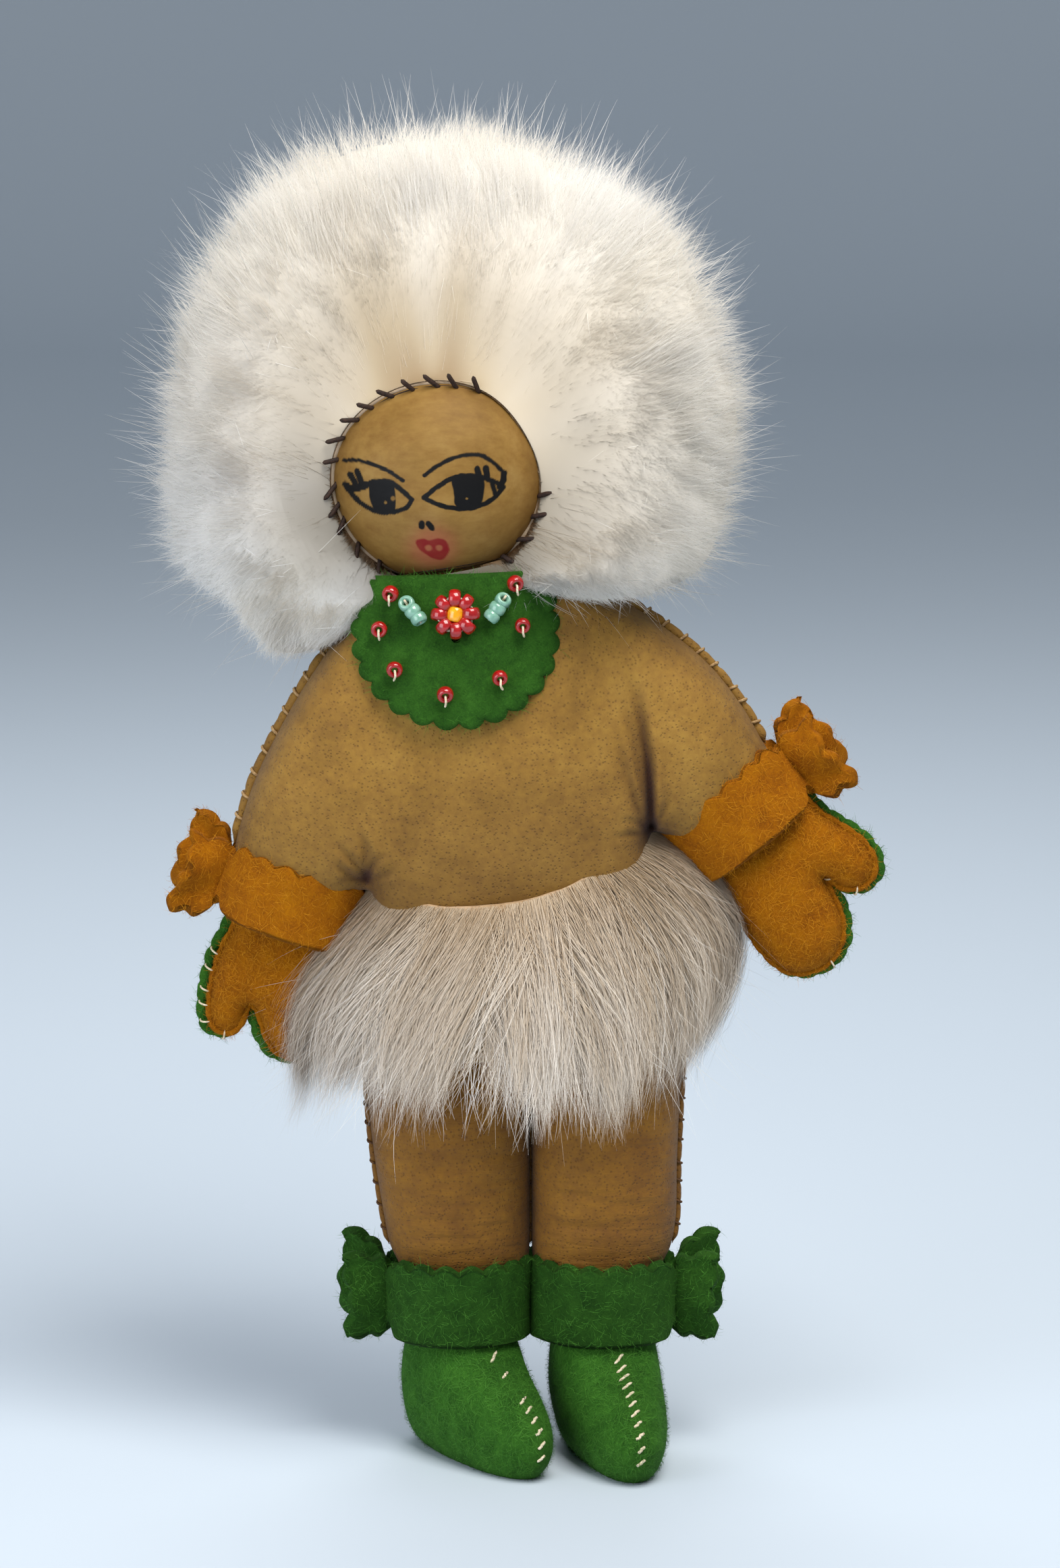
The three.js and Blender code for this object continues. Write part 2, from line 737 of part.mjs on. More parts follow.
function legForm(inset, sides = skinSides) {
  const span = hipHeight - ankleHeight;
  const width = profile([
    [ankleHeight - ankleHalfDepth, ankleHalfWidth - 0.6],
    [ankleHeight, ankleHalfWidth],
    [ankleHeight + 0.2 * span, calfHalfWidth],
    [ankleHeight + 0.6 * span, 0.5 * (calfHalfWidth + legTopHalfWidth)],
    [hipHeight, legTopHalfWidth],
    [hipHeight + legTopHalfDepth, legTopHalfWidth - 2],
  ]);
  const depth = profile([
    [ankleHeight, ankleHalfDepth],
    [ankleHeight + 0.2 * span, calfHalfDepth],
    [hipHeight, legTopHalfDepth],
  ]);
  const toe = ankleHalfDepth - inset;
  const top = legTopHalfDepth - inset;
  const levels = [-0.98, -0.8, -0.45].map((share) => ankleHeight + share * toe);
  levels.push(...[0, 0.1, 0.22, 0.42, 0.7, 1].map((share) => ankleHeight + share * span));
  levels.push(...[0.45, 0.8, 0.98].map((share) => hipHeight + share * top));
  const rings = levels.map((level) => {
    let halfDepth = depth(level) - inset;
    if (level < ankleHeight) {
      halfDepth = roundedEnd(toe, ankleHeight - level);
    }
    if (level > hipHeight) {
      halfDepth = roundedEnd(top, level - hipHeight);
    }
    const share = THREE.MathUtils.clamp((level - ankleHeight) / span, 0, 1);
    const centre = new THREE.Vector3(ankleSpacing + share * (legSpacing - ankleSpacing), 0, level);
    return oval(
      centre,
      new THREE.Vector3(width(level) - inset, 0, 0),
      new THREE.Vector3(0, halfDepth, 0),
      sides,
    );
  });
  return loft(rings);
}

function bootForm(inset, sides = bootSides) {
  const top = bootCuffBottom + 5;
  const shaft = ankleHalfDepth + bootCuffEase - 2 * sewnGap;
  const front = profile([
    [0, bootFront - 2.5],
    [0.2 * toeHeight, bootFront - 0.4],
    [0.5 * toeHeight, bootFront],
    [toeHeight, bootFront - 3.2],
    [0.55 * (toeHeight + bootCuffBottom), 0.5 * (bootFront + bootHalfWidth) - 1.5],
    [bootCuffBottom, shaft],
    [top, shaft],
  ]);
  const back = profile([
    [0, bootBack - 1.6],
    [0.3 * toeHeight, bootBack],
    [toeHeight, bootBack - 0.2],
    [bootCuffBottom, shaft],
    [top, shaft],
  ]);
  const width = profile([
    [0, bootHalfWidth - 1.3],
    [0.3 * toeHeight, bootHalfWidth],
    [bootCuffBottom, bootHalfWidth],
    [top, bootHalfWidth - 0.2],
  ]);
  const instep = bootCuffBottom - sewnGap - toeHeight;
  const levels = [inset, 0.2, 0.5, 1].map((share, index) => (index ? inset + share * (toeHeight - inset) : share));
  levels.push(toeHeight + 0.35 * instep, toeHeight + 0.68 * instep, toeHeight + instep, top);
  const rings = levels.map((level) => {
    const reach = front(level) - inset;
    const heel = back(level) - inset;
    const middle = (heel - reach) / 2;
    const half = (heel + reach) / 2;
    const ring = oval(
      new THREE.Vector3(0, middle, level),
      new THREE.Vector3(width(level) - inset, 0, 0),
      new THREE.Vector3(0, half, 0),
      sides,
    );
    ring.forEach((point) => {
      const toward = THREE.MathUtils.clamp(-point.y / bootFront, 0, 1);
      point.x *= 1 - toeNarrowing * toward;
    });
    return ring;
  });
  return loft(rings);
}

function addLeg(parent, side, toeTurn) {
  const skin = cut(legForm(0), legForm(leatherThickness));
  addPiece(parent, `${side}_leg_front`, keep(skin, frontHalf), legLeather);
  addPiece(parent, `${side}_leg_back`, keep(skin, backHalf), legLeather);
  addPiece(parent, `${side}_leg_stuffing`, legForm(leatherThickness + sewnGap, fillSides), fill);

  const foot = new THREE.Group();
  foot.position.set(ankleSpacing, 0, 0);
  parent.add(foot);
  const toed = new THREE.Matrix4().makeRotationZ(rad(toeTurn));
  const ankleBar = barAlongX(ankleHalfDepth + turningGap, ankleHeight);
  const innerHalf = moved(slab([-big, -big, -big], [-sewnGap / 2, big, big]), toed);
  const outerHalf = moved(slab([sewnGap / 2, -big, -big], [big, big, big]), toed);
  const boot = cut(moved(bootForm(0), toed), moved(bootForm(feltThickness), toed), ankleBar);
  addPiece(foot, `${side}_boot_inner`, keep(boot, innerHalf), green);
  addPiece(foot, `${side}_boot_outer`, keep(boot, outerHalf), green);
  const bootFill = cut(moved(bootForm(feltThickness + sewnGap, fillSides), toed), ankleBar);
  addPiece(foot, `${side}_boot_stuffing`, bootFill, fill);
  const cuff = cuffForm(
    ankleHalfWidth + turningGap,
    ankleHalfDepth + bootCuffEase,
    ankleHeight,
    bootCuffBottom,
    0.5 * (ankleHeight + bootCuffBottom),
  );
  addPiece(foot, `${side}_boot_cuff`, cuff, green);
}

addArm(upperBody, 'left', leftThumbSpread);
const rightUpper = new THREE.Group();
rightUpper.scale.x = -1;
upperBody.add(rightUpper);
addArm(rightUpper, 'right', rightThumbSpread);

addLeg(doll, 'left', leftToeTurn);
const rightLower = new THREE.Group();
rightLower.scale.x = -1;
doll.add(rightLower);
addLeg(rightLower, 'right', rightToeTurn);

// Fur skirt: a hanging ring, tight round the leaning waist and level at its hem.

function skirtForm() {
  const lean = rad(upperLean);
  const legReach = legSpacing + legTopHalfWidth;
  const innerWidth = legReach + skirtLegEase;
  const innerDepth = legTopHalfDepth + skirtLegEase + 0.8;
  const waistWidth = waistHalfWidth + sewnGap + 0.2;
  const waistDepth = waistHalfDepth + sewnGap + 0.2;
  const ring = (share, halfWidth, halfDepth, lift) => {
    const tilt = lean * (1 - share);
    const topX = -Math.sin(lean) * waistRise;
    const topZ = hipHeight + Math.cos(lean) * waistRise;
    const height = topZ + share * (skirtHemHeight - topZ) + lift;
    const centre = new THREE.Vector3(topX * (1 - share), 0, height);
    const across = new THREE.Vector3(Math.cos(tilt), 0, Math.sin(tilt)).multiplyScalar(halfWidth);
    return oval(centre, across, new THREE.Vector3(0, halfDepth, 0), 30);
  };
  const outer = [
    ring(0, waistWidth + skirtTopThickness, waistDepth + skirtTopThickness, 0),
    ring(0.2, 0.93 * skirtHalfWidth, 0.5 * (waistDepth + skirtHalfDepth), 0),
    ring(0.5, skirtHalfWidth, 0.93 * skirtHalfDepth, 0),
    ring(0.82, skirtHalfWidth, skirtHalfDepth, 0),
    ring(1, 0.97 * skirtHalfWidth, 0.93 * skirtHalfDepth, 0),
  ];
  const inner = [
    ring(0, waistWidth, waistDepth, 4),
    ring(0, waistWidth, waistDepth, 0),
    ring(0.2, Math.max(waistWidth, innerWidth - 1), waistDepth + 0.5, 0),
    ring(0.45, innerWidth, innerDepth, 0),
    ring(1, innerWidth, innerDepth, -4),
  ];
  return cut(loft(outer), loft(inner));
}

addPiece(doll, 'fur_skirt', skirtForm(), fur);

// Stand the origin under the middle of the whole doll.
doll.updateMatrixWorld(true);
const reach = new THREE.Box3().setFromObject(doll, true);
const middle = reach.getCenter(new THREE.Vector3());
doll.position.set(-middle.x, -middle.y, -reach.min.z);
doll.updateMatrixWorld(true);

export default doll;
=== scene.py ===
import json
import math

import bpy
import numpy as np
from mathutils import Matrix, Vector
from mathutils.bvhtree import BVHTree
from mathutils.geometry import delaunay_2d_cdt


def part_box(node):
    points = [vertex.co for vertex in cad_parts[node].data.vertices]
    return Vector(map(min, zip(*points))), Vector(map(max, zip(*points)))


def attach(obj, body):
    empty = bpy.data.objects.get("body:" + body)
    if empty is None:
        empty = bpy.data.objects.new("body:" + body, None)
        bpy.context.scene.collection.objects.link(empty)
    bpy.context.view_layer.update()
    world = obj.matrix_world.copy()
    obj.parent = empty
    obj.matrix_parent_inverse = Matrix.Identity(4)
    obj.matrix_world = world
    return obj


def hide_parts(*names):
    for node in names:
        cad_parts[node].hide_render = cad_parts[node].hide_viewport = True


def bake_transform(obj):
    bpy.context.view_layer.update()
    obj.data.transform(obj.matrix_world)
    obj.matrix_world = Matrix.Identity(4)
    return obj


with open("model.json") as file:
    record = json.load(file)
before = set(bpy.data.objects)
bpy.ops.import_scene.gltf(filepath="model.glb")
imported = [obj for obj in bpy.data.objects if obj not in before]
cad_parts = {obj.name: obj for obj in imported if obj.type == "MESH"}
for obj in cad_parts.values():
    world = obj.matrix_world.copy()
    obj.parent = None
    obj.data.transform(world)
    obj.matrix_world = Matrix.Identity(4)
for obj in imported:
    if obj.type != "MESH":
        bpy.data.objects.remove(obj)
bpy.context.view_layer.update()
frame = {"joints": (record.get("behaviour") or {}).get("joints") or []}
mm = 0.001  # all sizes below are in millimetres, meshes in metres

# where the doll's main lines are: the middle between the hip creases, and the lean of the upper body
jointPlace = {j["name"]: 1000 * np.array(j["pos_m"]) for j in frame["joints"]}
hips = (jointPlace["left_hip"] + jointPlace["right_hip"]) / 2
stance = {"lean": math.radians(10), "cameraTilt": math.radians(10)}

# camera: level with the chest, looking a little down, long lens
shot = {"widthPx": 1571, "heightPx": 2324, "mmPerPx": 0.092, "distance": 1000, "aimHeight": 92.9, "sensor": 36}
camera = bpy.data.objects.new("camera", bpy.data.cameras.new("camera"))
bpy.context.scene.collection.objects.link(camera)
bpy.context.scene.camera = camera
camera.data.sensor_width = shot["sensor"]
camera.data.lens = shot["sensor"] * shot["distance"] / (shot["heightPx"] * shot["mmPerPx"])
camera.data.clip_end = 20
tilt = stance["cameraTilt"]
aim = np.array([hips[0] - 0.14, hips[1], shot["aimHeight"]])
eye = aim + shot["distance"] * np.array([0, -math.cos(tilt), math.sin(tilt)])
camera.location = Vector(eye * mm)
camera.rotation_euler = (math.pi / 2 - tilt, 0, 0)
print("camera set")


def fromUpper(points):  # upper-body frame: across, through, up from the hip creases
    p = np.asarray(points, float)
    c, s = math.cos(stance["lean"]), math.sin(stance["lean"])
    return np.stack([p[:, 0] * c - p[:, 2] * s, p[:, 1], p[:, 0] * s + p[:, 2] * c], 1) + hips


def fromFront(points):  # front view: across from the middle, up from the floor
    p = np.asarray(points, float)
    return np.stack([p[:, 0] + hips[0], p[:, 1] + hips[1], p[:, 2]], 1)


def unit(v):
    return v / np.maximum(np.linalg.norm(v, axis=-1, keepdims=True), 1e-9)


def ease(low, high, x):
    t = np.clip((x - low) / (high - low), 0, 1)
    return t * t * (3 - 2 * t)


def softNoise(points, size, seed):  # smooth noise from -1 to 1, one hump per size
    table = np.random.default_rng(seed).uniform(-1, 1, 4096)
    q = np.asarray(points, float) / size + 100.3
    cell = np.floor(q).astype(np.int64)
    f = q - cell
    f = f * f * (3 - 2 * f)
    total = np.zeros(len(q))
    for corner in range(8):
        bits = np.array([corner & 1, corner >> 1 & 1, corner >> 2 & 1])
        c = cell + bits
        key = (c[:, 0] * 73856093 ^ c[:, 1] * 19349663 ^ c[:, 2] * 83492791) & 4095
        total += np.prod(np.where(bits, f, 1 - f), axis=1) * table[key]
    return total


def runAlong(line):  # how far along a line each of its points is
    return np.r_[0, np.cumsum(np.linalg.norm(np.diff(line, axis=0), axis=1))]


def smoothLine(points, spacing, closed=True):  # an even line through the points
    p = np.asarray(points, float)
    n = len(p)
    t = np.linspace(0, 1, 20, endpoint=False)[:, None]
    parts = []
    for k in range(n if closed else n - 1):
        at = [k - 1, k, k + 1, k + 2]
        a, b, c, d = [p[i % n] if closed else p[min(max(i, 0), n - 1)] for i in at]
        parts.append(0.5 * (2 * b + (c - a) * t + (2 * a - 5 * b + 4 * c - d) * t**2
            + (3 * b - a - 3 * c + d) * t**3))
    line = np.concatenate(parts + [p[:1] if closed else p[-1:]])
    run = runAlong(line)
    count = max(int(round(run[-1] / spacing)), 3)
    at = np.linspace(0, run[-1], count + (0 if closed else 1), endpoint=not closed)
    return np.stack([np.interp(at, run, line[:, k]) for k in range(p.shape[1])], 1)


def gapTo(points, line, closed=True):  # distance to a line, and how far along it the nearest place is
    a = line if closed else line[:-1]
    b = np.roll(line, -1, axis=0) if closed else line[1:]
    run = np.r_[0, np.cumsum(np.linalg.norm(b - a, axis=1))]
    best = np.full(len(points), 1e9)
    along = np.zeros(len(points))
    for k in range(len(a)):
        ab = b[k] - a[k]
        size = max(ab @ ab, 1e-12)
        t = np.clip((points - a[k]) @ ab / size, 0, 1)
        d = np.linalg.norm(points - a[k] - t[:, None] * ab, axis=1)
        near = d < best
        best[near] = d[near]
        along[near] = (run[k] + t * math.sqrt(size))[near]
    return best, along


def insideOutline(points, line):
    x, y = points[:, 0], points[:, 1]
    inside = np.zeros(len(points), bool)
    for a, b in zip(line, np.roll(line, -1, axis=0)):
        crosses = (a[1] > y) != (b[1] > y)
        if a[1] != b[1]:
            inside ^= crosses & (x < (b[0] - a[0]) * (y - a[1]) / (b[1] - a[1]) + a[0])
    return inside


# materials


def hexColour(code):  # sRGB hex to linear
    parts = [int(code[k:k + 2], 16) / 255 for k in (1, 3, 5)]
    return (*[p / 12.92 if p <= 0.04045 else ((p + 0.055) / 1.055) ** 2.4 for p in parts], 1)


class Shader:  # the nodes of one material; each method gives the output that the next one takes
    def __init__(self, name):
        self.material = bpy.data.materials.new(name)
        self.material.use_nodes = True
        self.tree = self.material.node_tree
        self.tree.nodes.clear()
        self.output = self.tree.nodes.new("ShaderNodeOutputMaterial")

    def add(self, kind, output, inputs, **settings):  # an input is a value, a hex colour or another node's output
        node = self.tree.nodes.new("ShaderNode" + kind)
        for key, value in settings.items():
            setattr(node, key, value)
        for key, value in inputs.items():
            if isinstance(value, bpy.types.NodeSocket):
                self.tree.links.new(value, node.inputs[key])
            else:
                node.inputs[key].default_value = hexColour(value) if isinstance(value, str) else value
        return node.outputs[output]

    def place(self, stretch=None):
        where = self.add("TexCoord", "Object", {})
        return where if stretch is None else self.add("Mapping", "Vector", {"Vector": where, "Scale": stretch})

    def noise(self, where, sizeMm, detail, roughness=0.5, distortion=0):
        return self.add("TexNoise", "Fac", {
            "Vector": where, "Scale": perMetre(sizeMm), "Detail": detail,
            "Roughness": roughness, "Distortion": distortion})

    def ramp(self, share, stops):
        colour = self.add("ValToRGB", "Color", {"Fac": share})
        elements = colour.node.color_ramp.elements
        while len(elements) < len(stops):
            elements.new(1)
        for element, (at, tone) in zip(elements, stops):
            element.position = at
            element.color = hexColour(tone) if isinstance(tone, str) else (tone, tone, tone, 1)
        return colour

    def attribute(self, name):
        return self.add("Attribute", "Fac", {}, attribute_name=name)

    def tint(self, below, amount, colour, blend="MULTIPLY"):
        return self.add("Mix", 2, {0: amount, 6: below, 7: colour}, data_type="RGBA", blend_type=blend)

    def bump(self, height, strength, depthMm, below=None):
        inputs = {"Height": height, "Strength": strength, "Distance": depthMm * mm}
        return self.add("Bump", "Normal", inputs if below is None else {**inputs, "Normal": below})

    def rough(self, share, low, high):
        return self.add("MapRange", "Result", {"Value": share, "To Min": low, "To Max": high})

    def done(self, surface):
        self.tree.links.new(surface, self.output.inputs["Surface"])
        return self.material

    def coat(self, inputs):
        return self.done(self.add("BsdfPrincipled", 0, inputs))


def perMetre(sizeMm):  # a texture's scale for features of that size
    return 1 / (sizeMm * mm)


# smoke-tanned hide, hand-stretched: matt tan with cloudy patches, fine dark pores and a suede nap
def smokedHide(name, light, middle, dark, wrinkleMm, wrinkleStretch, wrinkleDepth):
    hide = Shader(name)
    where = hide.place()
    tone = hide.ramp(hide.noise(where, 11, 5, 0.6), [(0.3, dark), (0.5, middle), (0.72, light)])
    pores = hide.add("TexVoronoi", "Distance", {"Vector": where, "Scale": perMetre(0.5), "Randomness": 1})
    poreMask = hide.ramp(pores, [(0.1, 0.0), (0.34, 1.0)])
    pored = hide.tint(tone, 0.34, hide.ramp(poreMask, [(0, "#8E6E48"), (1, "#FFFFFF")]))
    nap = hide.noise(where, 1.1, 6, 0.7)
    napped = hide.tint(pored, 0.6, hide.ramp(nap, [(0.3, "#C9B79A"), (0.62, "#FFFFFF")]))
    # painted shade: this tint darkens the hide in its fold grooves, at the armpits and over the lower belly, where
    # shade falls, and also darkens it toward the seams
    wornAndShaded = hide.tint(napped, hide.attribute("wear"), "#6E4A24")
    wrinkle = hide.noise(hide.place(wrinkleStretch), wrinkleMm, 4, 0.55, 0.4)
    relief = hide.bump(wrinkle, wrinkleDepth, 0.35)
    relief = hide.bump(poreMask, 0.6, 0.16, relief)
    relief = hide.bump(nap, 0.3, 0.15, relief)
    return hide.coat({
        "Base Color": wornAndShaded, "Roughness": hide.rough(nap, 0.62, 0.88), "Normal": relief,
        "Specular IOR Level": 0.32, "Sheen Weight": 0.06, "Sheen Roughness": 0.6})


# pressed wool felt, dyed: matt, fuzzy, short fibres lying every way with lighter and darker ones mixed
def woolFelt(name, light, middle, dark):
    felt = Shader(name)
    where = felt.place()
    patch = felt.noise(where, 3.2, 5, 0.65)
    fibre = felt.noise(where, 0.55, 5, 0.75, 2.2)
    blend = felt.add("Mix", 0, {0: 0.55, 2: patch, 3: fibre}, data_type="FLOAT")
    tone = felt.ramp(blend, [(0.36, dark), (0.5, middle), (0.66, light)])
    # painted shade: this tint darkens the whole bib and the ankle cuffs, which sit in shade, and also darkens the
    # felt toward seams and edges
    shaded = felt.tint(tone, felt.attribute("wear"), "#4A4A3A")
    relief = felt.bump(fibre, 0.75, 0.22, felt.bump(patch, 0.5, 0.5))
    return felt.coat({
        "Base Color": shaded, "Normal": relief, "Roughness": 0.95, "Specular IOR Level": 0.15,
        "Sheen Weight": 0.25, "Sheen Roughness": 0.5, "Sheen Tint": light})


# loose wool fibre standing off the felt: the felt's own dye, some fibres lighter than others
def looseFibre(name, light, dark):
    wool = Shader(name)
    tone = wool.ramp(wool.attribute("tone"), [(0, dark), (1, light)])
    return wool.coat({"Base Color": tone, "Roughness": 0.8, "Specular IOR Level": 0.2})


# tanned fur, long soft hair: white tips, cream to tan toward the skin, light passing through each hair
def furHair(name, root, middle, tip, shade, through):
    fur = Shader(name)
    colour = fur.ramp(fur.attribute("along"), [(0, root), (0.35, middle), (0.85, tip)])
    toned = fur.tint(colour, fur.attribute("tone"), shade)
    hair = fur.add("BsdfPrincipled", 0, {"Base Color": toned, "Roughness": 0.55, "Specular IOR Level": 0.3})
    behind = fur.add("BsdfTranslucent", 0, {"Color": toned})
    return fur.done(fur.add("MixShader", 0, {0: through, 1: hair, 2: behind}))


# pressed glass seed bead, fire-polished: opaque body colour under a clear hard gloss
def seedBeadGlass(name, colour, deep):
    glass = Shader(name)
    tone = glass.ramp(glass.noise(glass.place(), 0.9, 2), [(0.3, deep), (0.65, colour)])
    return glass.coat({
        "Base Color": tone, "Roughness": 0.16, "IOR": 1.52, "Coat Weight": 0.6, "Coat Roughness": 0.06})


# sewing cotton: uneven lighter and darker specks along the thread, matt with a faint gloss
def twistedThread(name, light, dark):
    cotton = Shader(name)
    twist = cotton.noise(cotton.place(), 0.3, 3, distortion=1)
    return cotton.coat({
        "Base Color": cotton.ramp(twist, [(0.35, dark), (0.65, light)]), "Normal": cotton.bump(twist, 0.5, 0.1),
        "Roughness": 0.7, "Specular IOR Level": 0.3})


# the face's hide: thin, pressed smooth, faintly stained and darkened toward its edge as painted shade, with drawn
# ink, lip colour and a rubbed-in blush
def paintedHide(name):
    hide = Shader(name)
    cloud = hide.noise(hide.place(), 7, 5, 0.6)
    colour = hide.ramp(cloud, [(0.3, "#795A27"), (0.52, "#896933"), (0.75, "#937540")])
    grain = hide.noise(hide.place((0.35, 1, 1)), 1.2, 6, 0.7)
    colour = hide.tint(colour, 0.5, hide.ramp(grain, [(0.3, "#CDB48E"), (0.6, "#FFFFFF")]))
    # painted shade toward the face's edge, under the fur, and faint stains
    colour = hide.tint(colour, hide.attribute("wear"), "#8A5C2C")
    for layer, paint in (("blush", "#B4564A"), ("lip", "#7E1018"), ("ink", "#050506")):
        colour = hide.tint(colour, hide.attribute(layer), paint, "MIX")
    return hide.coat({
        "Base Color": colour, "Roughness": hide.rough(grain, 0.5, 0.72), "Normal": hide.bump(grain, 0.25, 0.15),
        "Specular IOR Level": 0.2})


bodyHide = smokedHide("smokedHideBody", "#9A752D", "#8C6722", "#775517", 2.6, (1, 1, 0.6), 0.25)
legHide = smokedHide("smokedHideLegs", "#8C6010", "#7E540A", "#6A4305", 1.6, (0.22, 0.22, 1.6), 0.7)
greenFelt = woolFelt("woolFeltGreen", "#407524", "#2D5C17", "#1B410E")
goldFelt = woolFelt("woolFeltGold", "#A96A01", "#945600", "#733D00")
greenFibre = looseFibre("looseFibreGreen", "#4F882F", "#295F18")
goldFibre = looseFibre("looseFibreGold", "#CD8A14", "#A56103")
hoodHair = furHair("whiteFurHood", "#D2B083", "#F1EADF", "#FDFCFA", "#F3EEE4", 0.5)
skirtHair = furHair("whiteFurSkirt", "#D2BFA4", "#F0E9DE", "#FCFAF6", "#B9A589", 0.12)
pelt = smokedHide("tannedPeltEdge", "#BCA083", "#AD906D", "#957759", 1.5, (1, 1, 1), 0.2)
# painted shade: the underfur is coloured darker than the hairs, standing for the shade deep among the hairs
shadedUnderfur = furHair("woollyUnderfur", "#7C5F38", "#B3A68F", "#DAD7D1", "#F5F0E6", 0)
redBead = seedBeadGlass("seedBeadRed", "#A90F13", "#85060A")
mintBead = seedBeadGlass("seedBeadMint", "#7FAD98", "#659480")
amberBead = seedBeadGlass("seedBeadAmber", "#F0A90E", "#D58A06")
paleThread = twistedThread("cottonThreadPale", "#EBDFC6", "#BFAE8C")
tanThread = twistedThread("cottonThreadTan", "#B8996A", "#866540")
brownThread = twistedThread("cottonThreadBrown", "#6E4B2A", "#3C2614")
darkThread = twistedThread("cottonThreadDark", "#3A261C", "#17100D")
faceHide = paintedHide("smokedHideFace")
print("materials made")


# mesh makers


def makePiece(name, points, faces, material, attributes=None, normals=None):
    mesh = bpy.data.meshes.new(name)
    faces = np.asarray(faces, np.int32)
    mesh.vertices.add(len(points))
    mesh.vertices.foreach_set("co", (np.asarray(points, float) * mm).astype(np.float32).ravel())
    mesh.loops.add(faces.size)
    mesh.loops.foreach_set("vertex_index", faces.ravel())
    mesh.polygons.add(len(faces))
    mesh.polygons.foreach_set("loop_start", np.arange(0, faces.size, faces.shape[1], dtype=np.int32))
    mesh.polygons.foreach_set("use_smooth", np.full(len(faces), True))
    mesh.update(calc_edges=True)
    for key, values in (attributes or {}).items():
        mesh.attributes.new(key, "FLOAT", "POINT").data.foreach_set("value", np.asarray(values, np.float32))
    if normals is not None:
        mesh.normals_split_custom_set_from_vertices(unit(normals))
    mesh.materials.append(material)
    piece = bpy.data.objects.new(name, mesh)
    bpy.context.scene.collection.objects.link(piece)
    return piece


def pointNormals(points, faces):
    a, b, c = points[faces[:, 0]], points[faces[:, 1]], points[faces[:, 2]]
    flat = np.cross(b - a, c - a)
    total = np.zeros_like(points)
    for k in range(faces.shape[1]):
        np.add.at(total, faces[:, k], flat)
    return unit(total)


def gridFaces(rows, columns, closed=False):
    r, c = np.meshgrid(np.arange(rows - 1), np.arange(columns if closed else columns - 1), indexing="ij")
    a = r * columns + c
    b = r * columns + (c + 1) % columns
    return np.stack([a, b, b + columns, a + columns], -1).reshape(-1, 4)


def tubes(lines, radius, sides=7):  # round threads along lines of the same point count
    lines = np.asarray(lines, float)
    count, steps, _ = lines.shape
    ahead = unit(np.gradient(lines, axis=1))
    guide = np.where(np.abs(ahead[..., 1:2]) > 0.9, [1.0, 0, 0], [0, 1.0, 0])
    side = unit(np.cross(ahead, guide))
    over = np.cross(side, ahead)
    t = np.linspace(0, 1, steps)
    thick = radius * np.sqrt(np.clip(1 - (2 * t - 1) ** 8, 0.05, 1))[None, :, None, None]
    turn = np.arange(sides) * 2 * math.pi / sides
    ring = np.cos(turn)[:, None] * side[:, :, None] + np.sin(turn)[:, None] * over[:, :, None]
    points = (lines[:, :, None] + thick * ring).reshape(-1, 3)
    quads = gridFaces(steps, sides, closed=True)
    faces = (quads[None] + (np.arange(count) * steps * sides)[:, None, None]).reshape(-1, 4)
    return points, faces


def ribbons(lines, widths, outward, tone):  # flat tapering hairs that face outward
    lines = np.asarray(lines, float)
    count, steps, _ = lines.shape
    ahead = unit(np.gradient(lines, axis=1))
    side = unit(np.cross(ahead, outward))
    t = np.linspace(0, 1, steps)
    taper = (1 - t ** 2.2 * 0.9)[None, :, None]
    half = 0.5 * np.asarray(widths)[:, None, None] * taper
    points = np.stack([lines - side * half, lines + side * half], 2).reshape(-1, 3)
    normals = np.stack([outward - 0.45 * side, outward + 0.45 * side], 2).reshape(-1, 3)
    quads = gridFaces(steps, 2)
    faces = (quads[None] + (np.arange(count) * steps * 2)[:, None, None]).reshape(-1, 4)
    tones = np.broadcast_to(np.asarray(tone)[:, None, None], (count, steps, 2)).reshape(-1)
    return points, faces, normals, tones


def panelGrid(outline, spacing):  # an even flat net of triangles that follows the cut edge
    edge = smoothLine(outline, spacing)
    if np.cross(edge, np.roll(edge, -1, axis=0)).sum() < 0:
        edge = edge[::-1]
    low, high = edge.min(0), edge.max(0)
    rows = np.arange(low[1], high[1], 0.866 * spacing)
    inner = np.concatenate([np.stack([x, np.full(len(x), r)], 1) for r, x in (
        (r, np.arange(low[0] + (k % 2) * spacing / 2, high[0], spacing)) for k, r in enumerate(rows))])
    inner = inner[insideOutline(inner, edge)]
    inner = inner[gapTo(inner, edge)[0] > 0.9 * spacing]
    ahead = unit(np.roll(edge, -1, axis=0) - np.roll(edge, 1, axis=0))
    inward = np.stack([-ahead[:, 1], ahead[:, 0]], 1)
    sets = [edge]
    for offset in (0.12, 0.42):  # extra rows where the stuffed panel turns steeply at its seam
        row = edge + inward * offset * spacing
        keep = insideOutline(row, edge)
        keep[keep] &= gapTo(row[keep], edge)[0] > 0.8 * offset * spacing
        sets.append(row[keep])
    links = [(k, (k + 1) % len(edge)) for k in range(len(edge))]
    sets.append(inner)
    flat = np.concatenate(sets)
    made = delaunay_2d_cdt([Vector(p) for p in flat], links, [], 1, 1e-5)
    points = np.array([(v.x, v.y) for v in made[0]])
    triangles = np.array([f for f in made[2] if len(f) == 3], np.int64)
    onEdge = np.array([any(k < len(edge) for k in source) for source in made[3]])
    corner = points[triangles]
    turned = np.cross(corner[:, 1] - corner[:, 0], corner[:, 2] - corner[:, 0]) < 0
    triangles[turned] = triangles[turned][:, ::-1]
    return points, triangles, onEdge, edge


